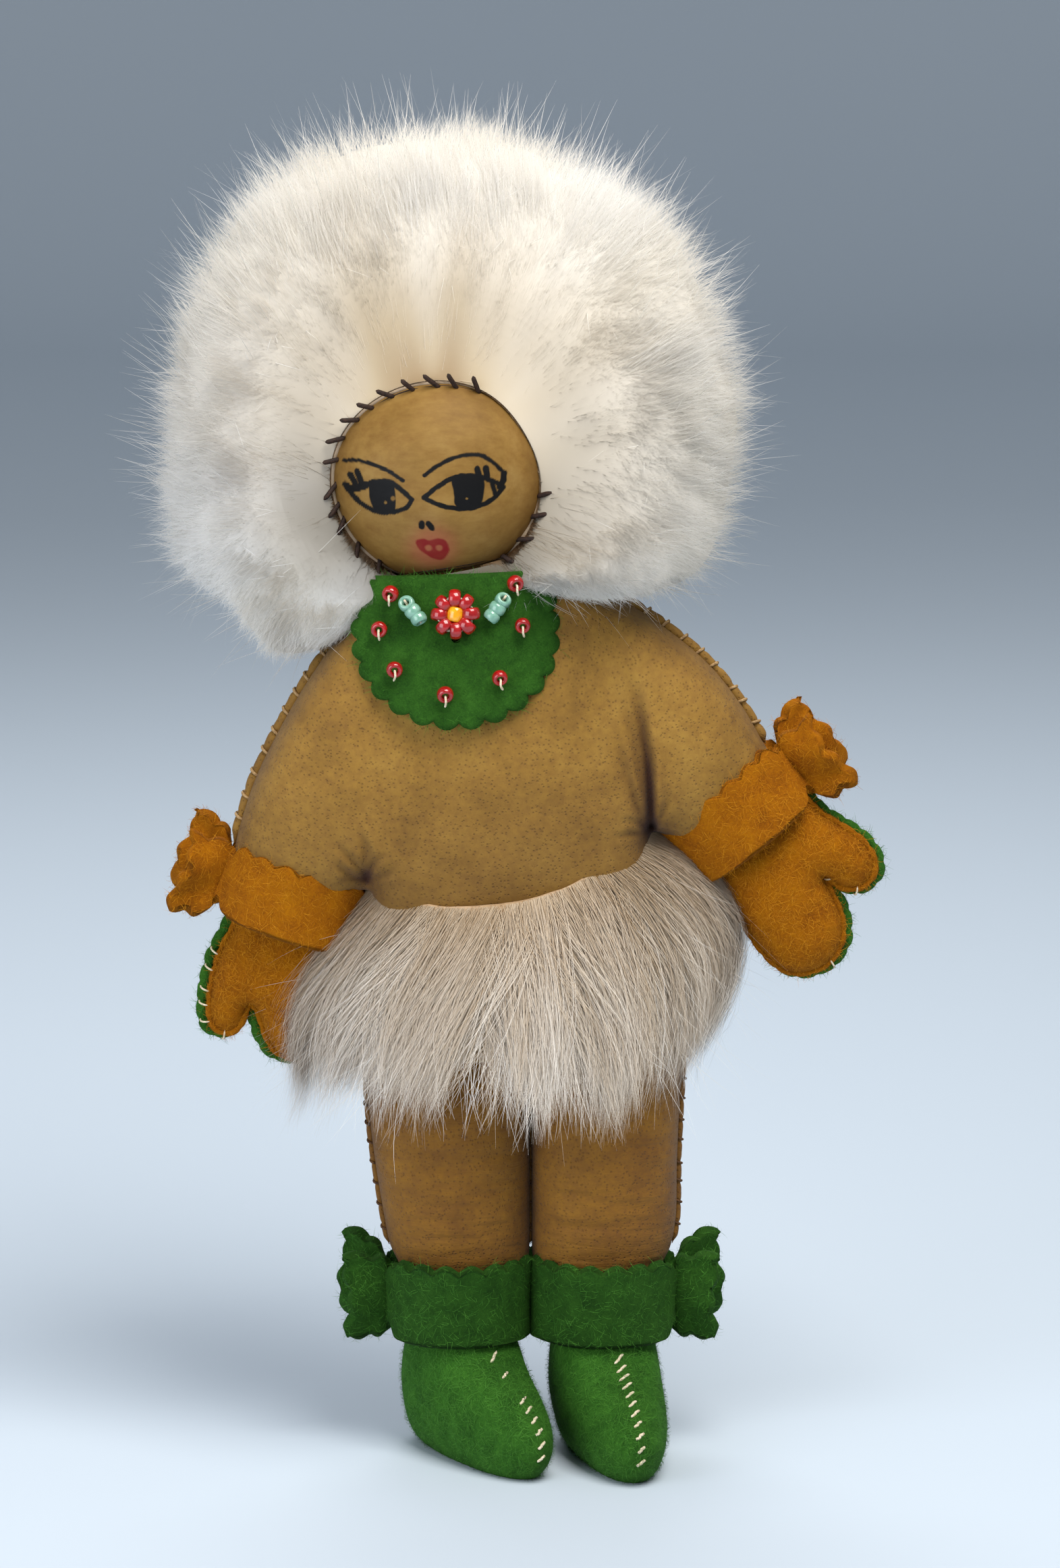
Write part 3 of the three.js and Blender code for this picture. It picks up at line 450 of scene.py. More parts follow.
def puff(points, triangles, onEdge):  # how a stuffed panel swells: a soap film pushed up from its sewn edge
    corner = points[triangles]
    i, j, w = [], [], []
    for k in range(3):
        u = corner[:, (k + 1) % 3] - corner[:, k]
        v = corner[:, (k + 2) % 3] - corner[:, k]
        w.append(0.5 * (u * v).sum(1) / np.maximum(np.abs(np.cross(u, v)), 1e-9))
        i.append(triangles[:, (k + 1) % 3])
        j.append(triangles[:, (k + 2) % 3])
    i, j, w = np.concatenate(i), np.concatenate(j), np.clip(np.concatenate(w), 1e-3, 50)
    area = 0.5 * np.abs(np.cross(corner[:, 1] - corner[:, 0], corner[:, 2] - corner[:, 0]))
    n = len(points)
    load = 2 * np.bincount(triangles.ravel(), np.repeat(area / 3, 3), n)
    free = ~onEdge
    pull = np.bincount(i, w, n) + np.bincount(j, w, n)

    def spread(x):
        d = w * (x[i] - x[j])
        return (np.bincount(i, d, n) - np.bincount(j, d, n)) * free

    x = np.zeros(n)
    r = load * free
    z = r / pull
    p = z.copy()
    rz = r @ z
    for _ in range(700):
        kp = spread(p)
        step = rz / max(p @ kp, 1e-12)
        x += step * p
        r -= step * kp
        if np.abs(r).max() < 1e-6:
            break
        z = r / pull
        new = r @ z
        p = z + new / rz * p
        rz = new
    return np.maximum(x, 0)


def cutPanel(outline, spacing):  # a flat panel, its swell, and how far each point is from the seam and along it
    flat, triangles, onEdge, edge = panelGrid(outline, spacing)
    gap, seamRun = gapTo(flat, edge)
    flat3 = np.stack([flat[:, 0], 0 * gap, flat[:, 1]], 1)
    return flat, triangles, onEdge, edge, puff(flat, triangles, onEdge), gap, seamRun, flat3


def stitchPull(seamRun, gap, pitch, width):  # where each stitch pinches the panel beside its seam
    return (0.5 + 0.5 * np.cos(2 * math.pi * seamRun / pitch)) * np.exp(-gap / width)


def halfArea(points, faces):  # one face of a sheet that is modelled with two
    a, b, c, d = (points[faces[:, k]] for k in range(4))
    return (0.25 * (np.linalg.norm(np.cross(b - a, c - a), axis=1)
        + np.linalg.norm(np.cross(c - a, d - a), axis=1)).sum())


def fullness(swell, limit):  # round where narrow, flatter where broad
    return np.sqrt(swell / (1 + swell / limit))


def sewnPair(points, triangles, onEdge, front, back):  # front and back panels that share the sewn edge
    n = len(points)
    twin = np.arange(n)
    inside = np.flatnonzero(~onEdge)
    twin[inside] = n + np.arange(len(inside))
    flat = np.concatenate([points, points[inside]])
    depth = np.concatenate([-front * ~onEdge, back[inside]])
    faces = np.concatenate([triangles, twin[triangles][:, ::-1]])
    isFront = np.arange(len(faces)) < len(triangles)
    return np.stack([flat[:, 0], depth, flat[:, 1]], 1), faces, isFront


def splitPiece(points, faces, keep, extra):  # the kept faces with only their own points
    used = np.unique(faces[keep])
    lookup = np.full(len(points), -1)
    lookup[used] = np.arange(len(used))
    return points[used], lookup[faces[keep]], {k: v[used] for k, v in extra.items()}


def hook(obj, body, slot=None, *nodes):  # ride on a body and hide the stand-in nodes, in one line; the slot is not used
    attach(obj, body)
    if nodes:
        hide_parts(*nodes)
    return obj


def surfaceOf(points, faces):
    return BVHTree.FromPolygons([Vector(p) for p in points], [list(map(int, f)) for f in faces])


fuzzSize = {  # fibres on a piece, their length, how far they stand up, their width
    "mitten": (4200, 1.1, 0.3, 0.04),
    "boot": (5000, 1.2, 0.35, 0.04),
    "cuff": (4200, 1.1, 0.35, 0.04),
    "bib": (5200, 1.5, 0.35, 0.05),
}


def fuzz(name, points, faces, kind, material, seed):  # loose fibres all over a felt piece
    count, length, lift, width = fuzzSize[kind]
    rng = np.random.default_rng(seed)
    tri = faces if faces.shape[1] == 3 else np.concatenate([faces[:, [0, 1, 2]], faces[:, [0, 2, 3]]])
    a, b, c = points[tri[:, 0]], points[tri[:, 1]], points[tri[:, 2]]
    cross = np.cross(b - a, c - a)
    area = np.linalg.norm(cross, axis=1)
    pick = rng.choice(len(tri), count, p=area / area.sum())
    u, v = rng.random(count), rng.random(count)
    over = u + v > 1
    u[over], v[over] = 1 - u[over], 1 - v[over]
    root = a[pick] + u[:, None] * (b - a)[pick] + v[:, None] * (c - a)[pick]
    normal = unit(cross[pick])
    along = unit(np.cross(normal, rng.normal(size=(count, 3))))
    bend = unit(np.cross(normal, rng.normal(size=(count, 3))))
    size = length * rng.uniform(0.5, 1.3, count)[:, None]
    rise = lift * rng.uniform(0.1, 1.2, count)[:, None]
    t = np.linspace(0, 1, 5)
    lines = np.stack([
        root + size * (along * x + bend * 0.5 * x * x) + normal * (size * rise * math.sin(2.4 * x) + 0.02)
        for x in t], 1)
    lines[..., 2] = np.maximum(lines[..., 2], 0.08)   # none under the floor
    out = np.broadcast_to(normal[:, None], lines.shape)
    pts, quads, normals, tones = ribbons(lines, np.full(count, width), out, rng.random(count))
    return makePiece(name, pts, quads, material, {"tone": tones}, normals)


# body and arms: two hide panels cut to one outline, sewn round the edge and stuffed
bodyCut = {
    "left": [(6.5, 60.4), (12.5, 58.2), (18.6, 53.8), (25, 48.4), (31.2, 41.4), (35, 34.6), (37.2, 28.6),
        (38.4, 24.2), (36.9, 19.6), (31.5, 16.2), (26.6, 15.6), (23.2, 17.4), (20.3, 19.5), (20.2, 16), (19.4, 11),
        (16.6, 6.4), (9, 4)],
    "right": [(-9, 4), (-16.6, 6.4), (-19, 11), (-19.6, 16), (-19.3, 18.4), (-22.4, 17.4), (-26, 15.4), (-31, 15.8),
        (-35.8, 18.8), (-37.3, 23), (-36.1, 27.4), (-34.4, 31.2), (-31.8, 35.9), (-28.6, 40.4), (-24.6, 45.4),
        (-20.4, 50), (-16.3, 54.2), (-11.8, 58), (-6.5, 60.4)],
    "spacing": 0.42,
    "limit": 300,
    # half thickness by rise
    "depth": [(0, 11.6), (14, 11.9), (24, 12.4), (34, 11.9), (42, 10.7), (49, 9.0), (53, 8.0), (57, 6.6),
        (62, 5.2)],
    "armpit": {"left": (20.1, 19.6), "right": (-19, 20.3)},
    "creaseStart": (19.5, 21.0),
    "creaseTilt": math.radians(10),
    "split": -2.6,   # where the arm's skin starts, inside the crease
    "follow": 6.0,   # a place outside the crease; the arm's skin is not made to follow the arm
    "stitch": 3.1,
}
armCrease = {}
for side, sign in (("left", 1), ("right", -1)):
    start = np.array(bodyCut["creaseStart"]) * [sign, 1]
    c, s = math.cos(bodyCut["creaseTilt"]), math.sin(bodyCut["creaseTilt"])
    run, out = np.array([sign * s, c]), np.array([sign * c, -s])
    armCrease[side] = (start, run, out)
outline = bodyCut["left"] + bodyCut["right"]
flat, triangles, onEdge, bodyEdge, swell, gap, seamRun, flat3 = cutPanel(outline, bodyCut["spacing"])
depthCap = np.interp(flat[:, 1], *zip(*bodyCut["depth"]))


def bodyFullness(swell):
    full = fullness(swell, bodyCut["limit"])
    return full / (1 + (full / depthCap) ** 6) ** (1 / 6)


height = bodyFullness(swell)
bellyShade = (1 - ease(15, 38, flat[:, 1])) * (1 - ease(20, 30, np.abs(flat[:, 0])))   # painted shade: the lower belly darker, where it turns away from the light above
# darker toward the sewn edge
seamDarkening = 0.35 * np.exp(-gap / 0.9)
wear = seamDarkening + 0.32 * bellyShade
height = height * (1 + 0.02 * softNoise(flat3, 9, 3) + 0.012 * softNoise(flat3, 3.5, 4))
armSide = np.abs(flat[:, 0]) > 10
pucker = stitchPull(seamRun, gap, bodyCut["stitch"], 1.3) * armSide
height -= 0.4 * pucker * np.minimum(gap, 1)
foldSet = {  # folds that fan up from each armpit: bearing from straight up, length, depth
    "left": [(-3, 23, 0.8), (3.5, 27, 0.95), (8, 24, 0.75), (13, 15, 0.5), (-9, 17, 0.55), (-22, 9, 0.4),
        (22, 8, 0.35), (-40, 6, 0.4), (-62, 6, 0.4), (40, 5, 0.3)],
    "right": [(0, 9, 0.5), (-16, 7, 0.4), (16, 8, 0.45), (34, 6, 0.4), (-36, 6, 0.4), (58, 6, 0.35), (-60, 5, 0.35),
        (82, 5, 0.3)],
}
fold = np.zeros(len(flat))
for side, sign in (("left", 1), ("right", -1)):
    pit = np.array(bodyCut["armpit"][side])
    rel = flat - pit
    far = np.linalg.norm(rel, axis=1)
    fold += 1.5 * np.exp(-(far / 2.6) ** 2)
    # painted shade in the hollow of the armpit
    wear += 0.3 * np.exp(-(far / 2.2) ** 2)
    for k, (bearing, length, depth) in enumerate(foldSet[side]):
        turn = math.radians(bearing) * sign
        ahead = np.array([math.sin(turn), math.cos(turn)])
        along = rel @ ahead
        bow = 1.2 * np.sin(along / length * math.pi + k) * (along / length)
        across = rel @ np.array([ahead[1], -ahead[0]]) - bow
        width = 0.42 + 0.02 * np.maximum(along, 0)
        groove = np.exp(-(across / width) ** 2) * ease(-1, 1.5, along) * (1 - ease(0.45 * length, length, along))
        ridge = (np.exp(-((across - 2.1 * width) / (1.3 * width)) ** 2) * ease(0, 3, along)
            * (1 - ease(0.4 * length, length, along)))
        fold += depth * groove - 0.3 * depth * ridge
        # painted shade along each fold's groove
        wear += 0.5 * depth * groove
height = np.maximum(height - fold * np.minimum(gap / 1.2, 1), 0.25 * height)
backHeight = bodyFullness(swell) * (0.94 + 0.02 * softNoise(flat3 + 50, 9, 5)) - 0.35 * pucker * np.minimum(gap, 1)
bodyPoints, bodyFaces, _ = sewnPair(flat, triangles, onEdge, height, np.maximum(backHeight, 0))
inside = np.flatnonzero(~onEdge)
# painted shade of the folds, armpits and belly on the front panel, with the darkening toward the seam on both
# panels
bodyShadeAndSeam = np.clip(np.concatenate([wear, seamDarkening[inside]]), 0, 1)
bodyWorld = fromUpper(bodyPoints)
bodyNormals = pointNormals(bodyWorld, bodyFaces)
middleOf = bodyPoints[bodyFaces].mean(1)[:, [0, 2]]
region = np.zeros(len(bodyFaces), int)
for k, side in enumerate(("left", "right")):
    start, run, out = armCrease[side]
    rel = middleOf - start
    region[(rel @ out > bodyCut["split"]) & (rel @ run > -14) & (np.abs(middleOf[:, 0]) > 14)] = k + 1
belowPit = (np.abs(middleOf[:, 0]) < 20.6) & (middleOf[:, 1] < 19.4)
region[belowPit] = 0
skinPieces = {}
for k, (name, side) in enumerate((("bodySkin", None), ("leftArmSkin", "left"), ("rightArmSkin", "right"))):
    pts, fcs, extra = splitPiece(bodyWorld, bodyFaces, region == k, {"wear": bodyShadeAndSeam, "normal": bodyNormals})
    skinPieces[name] = makePiece(name, pts, fcs, bodyHide, {"wear": extra["wear"]}, extra["normal"])
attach(skinPieces["bodySkin"], "torso")
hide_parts("torso_front", "torso_back", "torso_stuffing")
for side in ("left", "right"):
    start, run, out = armCrease[side]
    ends = [start + out * bodyCut["split"], start + out * bodyCut["follow"]]
    [tuple(fromUpper([(p[0], 0, p[1])])[0] * mm) for p in ends]
    skin = skinPieces[side + "ArmSkin"]
    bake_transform(skin)
    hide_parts(*[f"{side}_arm_{part}" for part in ("front", "back", "stuffing")])
print("body and arms stuffed:", len(bodyPoints), "points")


# two cut edges standing out along a seam, and the thread wound over them
def sewnRidge(edge2, span, place, size, pitch, slant, seed):
    loop = np.vstack([edge2, edge2[:1]])
    run = runAlong(loop)
    first, last = span
    rng = np.random.default_rng(seed)

    def on(s):
        return np.stack([np.interp(s % run[-1], run, loop[:, k]) for k in (0, 1)], 1)

    def ring(s, turn, grow):  # round the ridge: 0 points outward, a quarter turn to the front
        ahead = unit(on(s + 0.5) - on(s - 0.5))
        out = np.stack([ahead[:, 1], -ahead[:, 0]], 1)
        flat = on(s) + out * (size[0] * (np.cos(turn) * grow + 0.25))[:, None]
        return place(np.stack([flat[:, 0], -size[1] * np.sin(turn) * grow, flat[:, 1]], 1))

    s = np.linspace(first, last, int((last - first) / 0.22))
    ends = ease(first, first + 1.5, s) * (1 - ease(last - 1.5, last, s))
    pinch = 1 - 0.28 * (0.5 + 0.5 * np.cos(2 * math.pi * (s - first) / pitch)) ** 4
    lumps = 1 + 0.12 * softNoise(np.stack([s, 0 * s, 0 * s], 1), 1.3, seed)
    sides = 12
    turn = np.arange(sides) * math.pi / 6
    ridge = ring(np.repeat(s, sides), np.tile(turn, len(s)), np.repeat((0.15 + 0.85 * ends) * pinch * lumps, sides))
    at = np.arange(first + pitch, last - 0.5 * pitch, pitch)
    wound = np.linspace(-2.3, 2.3, 11)
    uneven = at + rng.normal(0, 0.09 * pitch, len(at))
    lines = [ring(spot + slant * wound / 4.6, wound, np.full(len(wound), 1.04)) for spot in uneven]
    return ridge, gridFaces(len(s), sides, closed=True)[:, ::-1], lines


def seamSpan(edge2, low, high):  # the stretch of an edge line between two places on it
    run = runAlong(np.vstack([edge2, edge2[:1]]))
    a = run[np.linalg.norm(edge2 - np.array(low), axis=1).argmin()]
    b = run[np.linalg.norm(edge2 - np.array(high), axis=1).argmin()]
    return min(a, b), max(a, b)


armSeam = {
    "left": ((13.5, 57.8), (37.2, 28.4)),
    "right": ((-36, 27.2), (-13, 57.2)),
    "ridge": (0.75, 0.8),
    "slant": 1.0,
    "thread": 0.2,
    "seed": 21,
}
for side in ("left", "right"):
    span = seamSpan(bodyEdge, *armSeam[side])
    pts, fcs, lines = sewnRidge(
        bodyEdge, span, fromUpper, armSeam["ridge"], bodyCut["stitch"], armSeam["slant"], armSeam["seed"])
    ridge = makePiece(side + "ArmSeam", pts, fcs, bodyHide, {"wear": np.full(len(pts), 0.15)})
    stitches = makePiece(side + "ArmStitches", *tubes(lines, armSeam["thread"]), tanThread)
    for piece in (ridge, stitches):
        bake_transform(piece)
print("arm seams stitched")

# neck: the stuffed plug under the chin, wrapped in hide
plug = {"radius": 5.1, "rise": 57, "top": 3.0}
turns, levels = 40, 22
rings = []
for k in range(levels):
    a = math.pi * (k + 0.5) / levels
    wide, rise = plug["radius"] * math.sin(a), plug["rise"] + min(-plug["radius"] * math.cos(a), plug["top"])
    rings.append([(wide * math.cos(b), wide * math.sin(b), rise) for b in np.arange(turns) * 2 * math.pi / turns])
plugPoints = fromUpper(np.array(rings).reshape(-1, 3))
plugPoints += 0.12 * softNoise(plugPoints, 1.5, 8)[:, None] * unit(plugPoints - plugPoints.mean(0))
neck = makePiece("neckPlug", plugPoints, gridFaces(levels, turns, closed=True), bodyHide)
hook(neck, "neck", "stuffing", "neck_stuffing")

# legs: hide tubes sewn down both sides, gathered into the boots
legCut = {
    "left": [(1.6, 72.4), (10, 73), (19, 72.2), (21, 66), (20.9, 58), (20.4, 48), (20.1, 40), (20, 33),
        (19.3, 28.6), (18, 25.6), (17.4, 21.6), (14, 19.4), (10, 19), (5.6, 19.4), (2.4, 21.6), (0.4, 25.6),
        (0.1, 28.6), (0.05, 33), (0.05, 45), (0, 58), (0.1, 66)],
    "right": [(-19.8, 72.2), (-10.4, 73), (-1.8, 72.4), (-0.2, 66), (-0.15, 58), (-0.15, 45), (-0.15, 33),
        (-0.2, 28.6), (-0.5, 25.6), (-2.4, 21.6), (-5.6, 19.4), (-10, 19), (-14, 19.4), (-17.4, 21.6),
        (-18.1, 25.6), (-19.5, 28.8), (-20.3, 33), (-21.4, 40), (-22.3, 48), (-22.6, 58), (-22, 66)],
    "spacing": 0.42,
    "limit": 420,
    "stitch": 2.9,
    "slant": 0.9,
    "thread": 0.17,
    "creases": ((36.5, 0.8, 0.35), (33.2, -0.6, 0.3), (41.5, 0.5, 0.22), (52, -0.5, 0.15)),   # level, bend, depth
    "seamTop": 66,
    "seamFoot": 28.6,
    "inner": {"left": (0.4, 0.5), "right": (-0.5, -0.7)},   # the seams' places across, at the top and at the foot
    "outerFoot": {"left": 19.4, "right": -19.6},
    "ridge": {"Outer": (0.5, 0.6), "Inner": (0.28, 0.5)},
}
for seed, side in ((31, "left"), (41, "right")):
    flat, triangles, onEdge, edge, swell, gap, seamRun, flat3 = cutPanel(legCut[side], legCut["spacing"])
    height = 0.93 * fullness(swell, legCut["limit"]) * (1 + 0.015 * softNoise(flat3, 8, seed))
    creased = softNoise(flat3 * [0.16, 1, 1], 1.5, seed + 1) + 0.6 * softNoise(flat3 * [0.22, 1, 1], 0.8, seed + 2)
    strength = 0.35 + 0.65 * ease(-0.2, 0.6, softNoise(flat3 * [0.6, 1, 1], 9, seed + 3))
    sag = np.exp(-((flat[:, 1] - 34) / 7) ** 2)
    height += 0.16 * strength * (1 + 0.8 * sag) * creased * np.minimum(gap / 1.5, 1)
    for level, bend, deep in legCut["creases"]:
        line = level + bend * np.sin(flat[:, 0] * 0.35 + seed) + 0.5 * softNoise(flat3, 4, seed + 9)
        uneven = 0.6 + 0.4 * softNoise(flat3, 6, seed + 4)
        height -= deep * np.exp(-((flat[:, 1] - line) / 0.5) ** 2) * ease(0.5, 5, gap) * uneven
    pucker = stitchPull(seamRun, gap, legCut["stitch"], 1.2)
    height -= 0.35 * pucker * np.minimum(gap, 1)
    height = np.maximum(height, 0)
    pts, fcs, _ = sewnPair(flat, triangles, onEdge, height, height)
    # darker toward the seams, and painted shade in the creases' grooves
    legShadeAndSeam = np.clip(0.45 * np.exp(-gap / 0.8) + 0.18 * np.maximum(-creased, 0) * strength, 0, 1)
    legShadeAndSeam = np.concatenate([legShadeAndSeam, legShadeAndSeam[~onEdge]])
    world = fromFront(pts)
    leg = makePiece(side + "LegSkin", world, fcs, legHide, {"wear": legShadeAndSeam})
    hook(leg, side + "_leg", "leg_leather", *[f"{side}_leg_{part}" for part in ("front", "back", "stuffing")])
    outerX = edge[:, 0].max() if side == "left" else edge[:, 0].min()
    for part, across in (("Outer", (outerX, legCut["outerFoot"][side])), ("Inner", legCut["inner"][side])):
        span = seamSpan(edge, *zip(across, (legCut["seamTop"], legCut["seamFoot"])))
        pts, fcs, lines = sewnRidge(
            edge, span, fromFront, legCut["ridge"][part], legCut["stitch"], legCut["slant"], seed)
        ridge = makePiece(f"{side}Leg{part}Seam", pts, fcs, legHide, {"wear": np.full(len(pts), 0.25)})
        stitches = makePiece(f"{side}Leg{part}Stitches", *tubes(lines, legCut["thread"]), brownThread)
        for piece in (ridge, stitches):
            hook(piece, side + "_leg", "leg_leather")
print("legs stuffed")

# mittens: gold felt front, green felt back, edges whip-stitched, lightly stuffed
mittenCut = {
    "left": [(36.6, 91.2), (39.4, 88.9), (42.2, 87.2), (45.2, 85), (46.8, 82.3), (46.4, 79.9), (44.6, 78.6),
        (42.4, 78.8), (40.6, 79.9), (39.9, 80), (41.2, 77.4), (42.4, 74.4), (42.3, 70.8), (40.4, 68), (37.3, 66.8),
        (34.5, 67.3), (31.8, 69.7), (29.4, 73.2), (27.6, 76.6), (25.6, 79.8), (24.6, 83), (28, 86.6), (32.4, 89.6)],
    "right": [(-38.4, 76.4), (-40.7, 72.9), (-42.4, 69.7), (-43.5, 66), (-44, 62.3), (-43.6, 59.5), (-41.8, 58.4),
        (-40.1, 59.2), (-39.2, 61.2), (-38.5, 62.5), (-37.3, 61.3), (-36.4, 58.5), (-35.1, 56), (-33.1, 55),
        (-30.5, 55), (-27.8, 56.4), (-25.9, 60.2), (-25.1, 64.1), (-24.6, 68), (-24.2, 72.4), (-27.4, 75.8),
        (-33, 77.6)],
    "spacing": 0.45,
    "limit": 70,
    "stitch": 2.5,
    "aside": {"left": 0.5, "right": -0.9},   # how far the back has slipped past the front
    "shown": {"left": (1, 6, 8), "right": (0, 1, 2, 3, 4, 5)},   # stitches not sunk in the felt
    "sewn": {"left": ((40.6, 88.2), (36, 66.9)), "right": ((-41.4, 71.8), (-39.9, 59.5))},
    "thread": 0.13,
}
mittenSides = {  # felt, its fibre, its slot, how far its edge stands forward, the edge's half width and depth
    "Front": (goldFelt, goldFibre, "gold_felt", -0.42, (0.5, 0.55)),
    "Back": (greenFelt, greenFibre, "green_felt", 0.5, (0.85, 0.6)),
}
for seed, side in ((51, "left"), (61, "right")):
    flat, triangles, onEdge, edge, swell, gap, seamRun, flat3 = cutPanel(mittenCut[side], mittenCut["spacing"])
    height = fullness(swell, mittenCut["limit"]) * (0.86 + 0.05 * softNoise(flat3, 4.5, seed))
    pucker = stitchPull(seamRun, gap, mittenCut["stitch"], 1.4)
    height = np.maximum(height - 0.35 * pucker * np.minimum(gap, 1), 0) + 0.05
    pts, fcs, isFront = sewnPair(flat, triangles, onEdge, height, height)
    # darker toward the sewn edge
    mittenSeamDark = 0.3 * np.exp(-gap / 0.7)
    extra = {"wear": np.concatenate([mittenSeamDark, mittenSeamDark[~onEdge]])}
    world = fromFront(pts)
    total = np.linalg.norm(np.diff(np.vstack([edge, edge[:1]]), axis=0), axis=1).sum()
    aside = np.array([mittenCut["aside"][side], 0, 0])
    for part, (felt, fibre, slotName, shift, size) in mittenSides.items():
        p, f, e = splitPiece(world, fcs, isFront == (part == "Front"), extra)
        slip = aside if part == "Back" else 0 * aside
        p = p + slip
        rpts, rfcs, _ = sewnRidge(
            edge, (0, total), lambda q: fromFront(q + [0, shift, 0] + slip), size, mittenCut["stitch"], 0, seed)
        rfcs = np.concatenate([rfcs[:, [0, 1, 2]], rfcs[:, [0, 2, 3]]])
        f = np.concatenate([f, rfcs + len(p)])
        p = np.concatenate([p, rpts])
        mitten = makePiece(f"{side}Mitten{part}", p, f, felt, {"wear": np.r_[e["wear"], np.full(len(rpts), 0.1)]})
        nodes = [f"{side}_mitten_{part.lower()}"] + ([f"{side}_mitten_stuffing"] if part == "Front" else [])
        hook(mitten, side + "_hand", slotName, *nodes)
        hook(fuzz(f"{side}Mitten{part}Fuzz", p, f, "mitten", fibre, seed + 3), side + "_hand", slotName)
    span = seamSpan(edge, *mittenCut["sewn"][side])
    _, _, lines = sewnRidge(edge, span, fromFront, (0.75, 0.95), mittenCut["stitch"], 0.8, seed)
    lines = [line + aside * 0.6 for k, line in enumerate(lines) if k in mittenCut["shown"][side]]
    hook(makePiece(side + "MittenStitches", *tubes(lines, mittenCut["thread"]), paleThread), side + "_hand",
        "stuffing")
print("mittens stuffed")

# boots: two green felt halves sewn along the middle, flat under the sole
bootCut = {
    "side": [(-8.4, 21.4), (-8.7, 15), (-9.6, 8), (-9.8, 4), (-8.6, 0.6), (-5, -1.2), (4, -1.6), (12, -1.6),
        (18.4, -0.9), (22.4, 1.2), (24.2, 4.2), (23.4, 7.4), (20, 10.0), (15.0, 12.4), (11.0, 14.2), (8.9, 16.2),
        (8.2, 19), (8.0, 21.6), (0, 22)],
    "spacing": 0.5,
    "limit": 190,
    "taper": [(-12, 1.0), (6, 1.0), (13, 0.97), (19, 0.9), (25, 0.82)],   # narrower toward the toe
    "turn": {"left": 12, "right": 28},   # toes toward the doll's left
    "stitch": 1.95,
    "sunk": {"left": [], "right": [2, 4, 5]},   # stitches lost in the felt
    "sewn": [(8.9, 16.2), (11.0, 14.2), (15.0, 12.4), (20, 10.0), (23.4, 7.4), (24.2, 4.2), (23.2, 2.0)],
    "thread": 0.21,
}
ankles = {side: jointPlace[side + "_ankle"] for side in ("left", "right")}
for seed, side in ((71, "left"), (81, "right")):
    flat, triangles, onEdge, edge, swell, gap, seamRun, flat3 = cutPanel(bootCut["side"], bootCut["spacing"])
    height = (fullness(swell, bootCut["limit"]) * (1 + 0.04 * softNoise(flat3, 6, seed))
        * np.interp(flat[:, 0], *zip(*bootCut["taper"])))
    front = flat[:, 0] > 4
    pucker = stitchPull(seamRun, gap, bootCut["stitch"], 1.3) * front
    height = np.maximum(height - 0.3 * pucker * np.minimum(gap, 1), 0)
    pts, fcs, isOne = sewnPair(flat, triangles, onEdge, height, height)
    turn = math.radians(bootCut["turn"][side])
    centre = ankles[side] * [1, 1, 0]

    def placeBoot(p):  # side profile to the floor: forward along the toe, across the toe
        p = np.asarray(p, float)
        ahead = np.array([math.sin(turn), -math.cos(turn), 0])
        across = np.array([math.cos(turn), math.sin(turn), 0])
        low = np.maximum(p[:, 2], 0.05 + 0.012 * np.maximum(-p[:, 2], 0))
        return centre + p[:, :1] * ahead - p[:, 1:2] * across + low[:, None] * [0, 0, 1]

    world = placeBoot(pts)
    fcs = np.asarray(fcs)[:, ::-1]   # the placing mirrors the panels
    # darker toward the seams, above the sole
    bootSeamDark = 0.25 * np.exp(-gap / 0.6) * (flat[:, 1] > 0)
    extra = {"wear": np.concatenate([bootSeamDark, bootSeamDark[~onEdge]])}
    for part, keep in (("Outer", isOne == (side == "left")), ("Inner", isOne == (side == "right"))):
        p, f, e = splitPiece(world, fcs, keep, extra)
        boot = makePiece(f"{side}Boot{part}", p, f, greenFelt, {"wear": e["wear"]})
        nodes = [f"{side}_boot_{part.lower()}"] + ([f"{side}_boot_stuffing"] if part == "Outer" else [])
        hook(boot, side + "_foot", "green_felt", *nodes)
        hook(fuzz(f"{side}Boot{part}Fuzz", p, f, "boot", greenFibre, seed + 5), side + "_foot", "green_felt")
    tree = surfaceOf(world, fcs)
    loop = smoothLine(bootCut["sewn"], bootCut["stitch"], closed=False)
    rng = np.random.default_rng(seed)
    lines = []
    for k in range(1, len(loop) - 1):
        if k in bootCut["sunk"][side]:
            continue
        along = unit(loop[k + 1] - loop[k - 1])
        spread = np.linspace(-1, 1, 9) * rng.uniform(0.8, 1.05)
        spot = loop[k] + np.outer(spread, -0.75 * along) + [along[1] * -0.3, along[0] * 0.3]
        spot = spot + 1.2 * np.array([-along[1], along[0]])
        wide = placeBoot(np.stack([spot[:, 0], -spread, spot[:, 1]], 1))
        laid = []
        for q in wide:
            hit, normal, _, _ = tree.find_nearest(Vector(q))
            laid.append(np.array(hit) + 0.02 * np.array(normal))
        lines.append(laid)
    hook(makePiece(side + "BootStitches", *tubes(lines, bootCut["thread"]), paleThread), side + "_foot", "stuffing")
print("boots stuffed")


